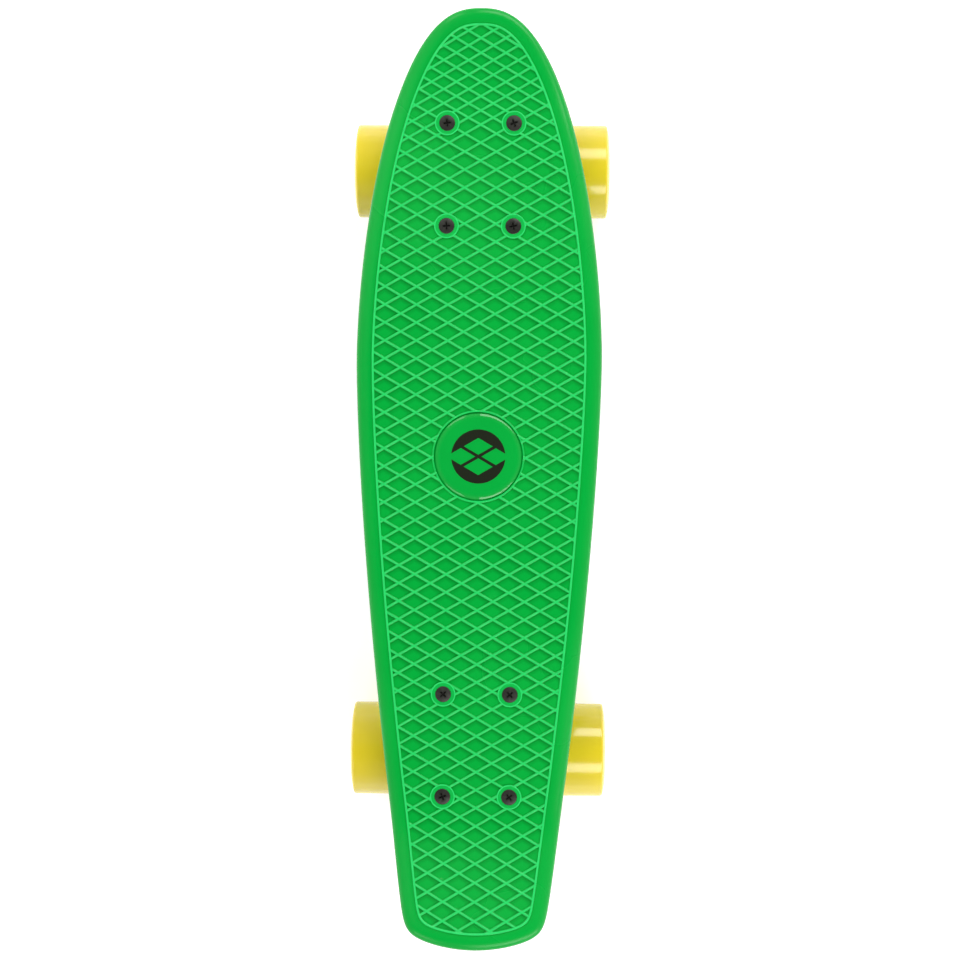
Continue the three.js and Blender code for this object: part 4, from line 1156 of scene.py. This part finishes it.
def makeTrucks():
    zinc, rubber = ("zinc_steel", "zincSteel"), ("black_urethane", "blackUrethane")
    # name, node, body and piece of what each end has once
    single = [
        ("Baseplate", "baseplate_{}", "root", makeBaseplate()),
        ("PivotCup", "pivot_cup_{}", "root", dress(makeCup(), *rubber)),
        ("Kingpin", "kingpin_{}", "root", dress(makeKingpin(), *zinc)),
        ("TopWasher", "washer_top_{}", "root", dress(makeWasher(topWasherStart), *zinc)),
        ("LowWasher", "washer_bottom_{}", "root", dress(makeWasher(lowWasherStart), *zinc)),
        ("KingpinNut", "kingpin_nut_{}", "root",
         moved(makeNut("kingpin", *zinc), onKingpin @ shift(0, 0, nutStart))),
        ("Hanger", "hanger_{}", "hanger_{}", makeHanger()),
        ("Axle", "axle_{}", "hanger_{}", dress(makeAxle(), *zinc)),
    ]
    # name, node, piece and reach along the kingpin of what is squeezed between board and hanger
    soft = [
        ("BarrelBushing", "bushing_top", dress(makeBarrel(), *rubber), (barrelStart, ringStart)),
        ("ConeBushing", "bushing_bottom", dress(makeCone(), *rubber), (lowWasherStart, ringEnd)),
    ]
    # name, node, body and piece of what each wheel has
    paired = [
        ("Wheel", "wheel_{}_{}", "wheel_{}_{}", makeWheel()),
        ("InnerBearing", "bearing_{}_{}_inner", "wheel_{}_{}", makeBearing(innerBearing)),
        ("OuterBearing", "bearing_{}_{}_outer", "wheel_{}_{}", makeBearing(outerBearing)),
        ("BearingSpacer", "bearing_spacer_{}_{}", "hanger_{}", dress(makeSpacer(), *zinc)),
        ("AxleNut", "axle_nut_{}_{}", "hanger_{}",
         moved(makeNut("axle", *zinc), onAxle @ shift(0, 0, axleNut))),
    ]
    deckBolt = makeBolt()
    smallNut = makeNut("deckBolt", "black_steel", "blackSteel")
    moved(smallNut, shift(0, 0, -base["thickness"] - 0.5) @ turnAbout("X"))
    for end, facing in (("front", 1), ("rear", -1)):
        for name, node, body, piece in single:
            seat(placed(piece, end + name, atEnd[end]), node.format(end), body.format(end))
        for name, node, piece, reaches in soft:
            copy = placed(piece, end + name, atEnd[end])
            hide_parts(f"{node}_{end}")
            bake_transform(copy)
        for side in (-1, 1):
            hand = "right" if side * facing > 0 else "left"
            flip = Matrix.Identity(4) if side > 0 else shift(0, 2 * truck["axleOut"], 0) @ turnAbout("Z")
            for name, node, body, piece in paired:
                copy = placed(piece, end + hand.capitalize() + name, atEnd[end] @ flip)
                seat(copy, node.format(end, hand), body.format(end, hand))
        for k, place in enumerate(boltPlaces[end], 1):
            spot = shift(place.x, place.y, mountHeight)
            turn = turnAbout("Z", bolt["turnsDeg"][end][k - 1])
            seat(placed(deckBolt, f"{end}DeckBolt{k}", spot @ turn), f"deck_bolt_{end}_{k}", "root")
            seat(placed(smallNut, f"{end}LockNut{k}", spot), f"lock_nut_{end}_{k}", "root")
        print("truck:", end)
    used = [entry[3] for entry in single + paired] + [entry[2] for entry in soft] + [deckBolt, smallNut]
    for piece in used:
        bpy.data.objects.remove(piece)


makeTrucks()

studio = {
    "floorShader": {"Base Color": (0.92, 0.92, 0.92, 1), "Roughness": 0.9, "Specular IOR Level": 0.1},
    "floorSize": 12.0, "horizon": 0.9, "zenith": 0.03, "glow": (0.45, 0.75), "glowReach": (0.5, 1.6),
    "whiteHeight": (0.22, 0.5),
}
lamps = {
    "leftFill": {"place": (-0.8, 0.5, 1.1), "aim": (0, 0.1, 0.06), "size": (0.8, 1.5), "power": 7.2},
    "noseBox": {"place": (0.7, 0.94, 0.93), "aim": (0.7, 0, 0.06), "size": (1.4, 0.5), "power": 10.9},
    "tailBox": {"place": (0.7, -0.85, 0.88), "aim": (0.7, 0, 0.06), "size": (1.4, 0.45), "power": 9.6},
    "leftNoseBox": {"place": (-0.62, 0.94, 0.93), "aim": (-0.62, 0, 0.06), "size": (0.56, 0.5), "power": 2.3},
    "leftTailBox": {"place": (-0.62, -0.85, 0.88), "aim": (-0.62, 0, 0.06), "size": (0.56, 0.45),
                    "power": 2.1},
}


def seenRays(tree):  # 1 for a ray that ends in the picture, straight or by a mirror or through glass
    rays = addNode(tree, "LightPath").outputs
    mirrored = calc(tree, "MAXIMUM", rays["Is Glossy Ray"], rays["Is Transmission Ray"])
    return calc(tree, "MAXIMUM", rays["Is Camera Ray"], mirrored)


def addFloor():  # lit by the lamps, and white to the eye through a glow that grows with the distance
    half = studio["floorSize"] / 2 / millimetre
    floor = addMesh("studioFloor", [(-half, -half, 0), (half, -half, 0), (half, half, 0), (-half, half, 0)],
                    [[0, 1, 2, 3]])
    material, tree, _ = newMaterial("paleFloor", studio["floorShader"])
    away = addNode(tree, "VectorMath", places(tree), operation="LENGTH")
    level = remap(tree, away.outputs["Value"], *studio["glowReach"], *studio["glow"])
    more = calc(tree, "MULTIPLY", seenRays(tree), level)
    glow = addNode(tree, "Emission", Color=(1, 1, 1, 1), Strength=more)
    added = addNode(tree, "AddShader", tree.nodes["Principled BSDF"], glow)
    plug(tree.nodes["Material Output"].inputs["Surface"], added)
    layOut(tree)
    floor.data.materials.append(material)


def addLamp(name, look):
    lamp = bpy.data.lights.new(name, "AREA")
    lamp.shape = "RECTANGLE"
    lamp.size, lamp.size_y = look["size"]
    lamp.energy = look["power"]
    holder = addObject(name, lamp)
    holder.location = look["place"]
    holder.rotation_euler = (Vector(look["aim"]) - Vector(look["place"])).to_track_quat("-Z", "Y").to_euler()
    holder.visible_glossy = name != "leftFill"


def addWorld():  # falls off from the horizon up, and white to the eye near the horizon
    world = bpy.data.worlds.new("studioWorld")
    world.use_nodes = True
    bpy.context.scene.world = world
    tree = world.node_tree
    back = tree.nodes["Background"].inputs
    back["Color"].default_value = (1, 1, 1, 1)
    way = addNode(tree, "TexCoord").outputs["Generated"]
    height = addNode(tree, "SeparateXYZ", way).outputs["Z"]
    sky = remap(tree, height, 0.0, 1.0, studio["horizon"], studio["zenith"])
    white = remap(tree, height, *studio["whiteHeight"], 1.0, 0.0)
    backdrop = calc(tree, "MULTIPLY", white, seenRays(tree))
    plug(back["Strength"], calc(tree, "MAXIMUM", sky, backdrop))
    layOut(tree)


def addCamera():
    view = {"place": (0.03727, 0.01176, 1.53466), "tiltDeg": (-0.504, 1.434, 0.424), "lens": 87.57}
    camera = bpy.data.cameras.new("photoView")
    camera.lens = view["lens"]
    camera.sensor_width = 36
    camera.clip_start = 0.05
    holder = addObject("photoView", camera)
    holder.location = view["place"]
    holder.rotation_euler = [math.radians(angle) for angle in view["tiltDeg"]]
    bpy.context.scene.camera = holder


addFloor()
for lampName, lampLook in lamps.items():
    addLamp(lampName, lampLook)
addWorld()
addCamera()
bpy.context.scene.view_settings.view_transform = "Standard"
print("studio ready")
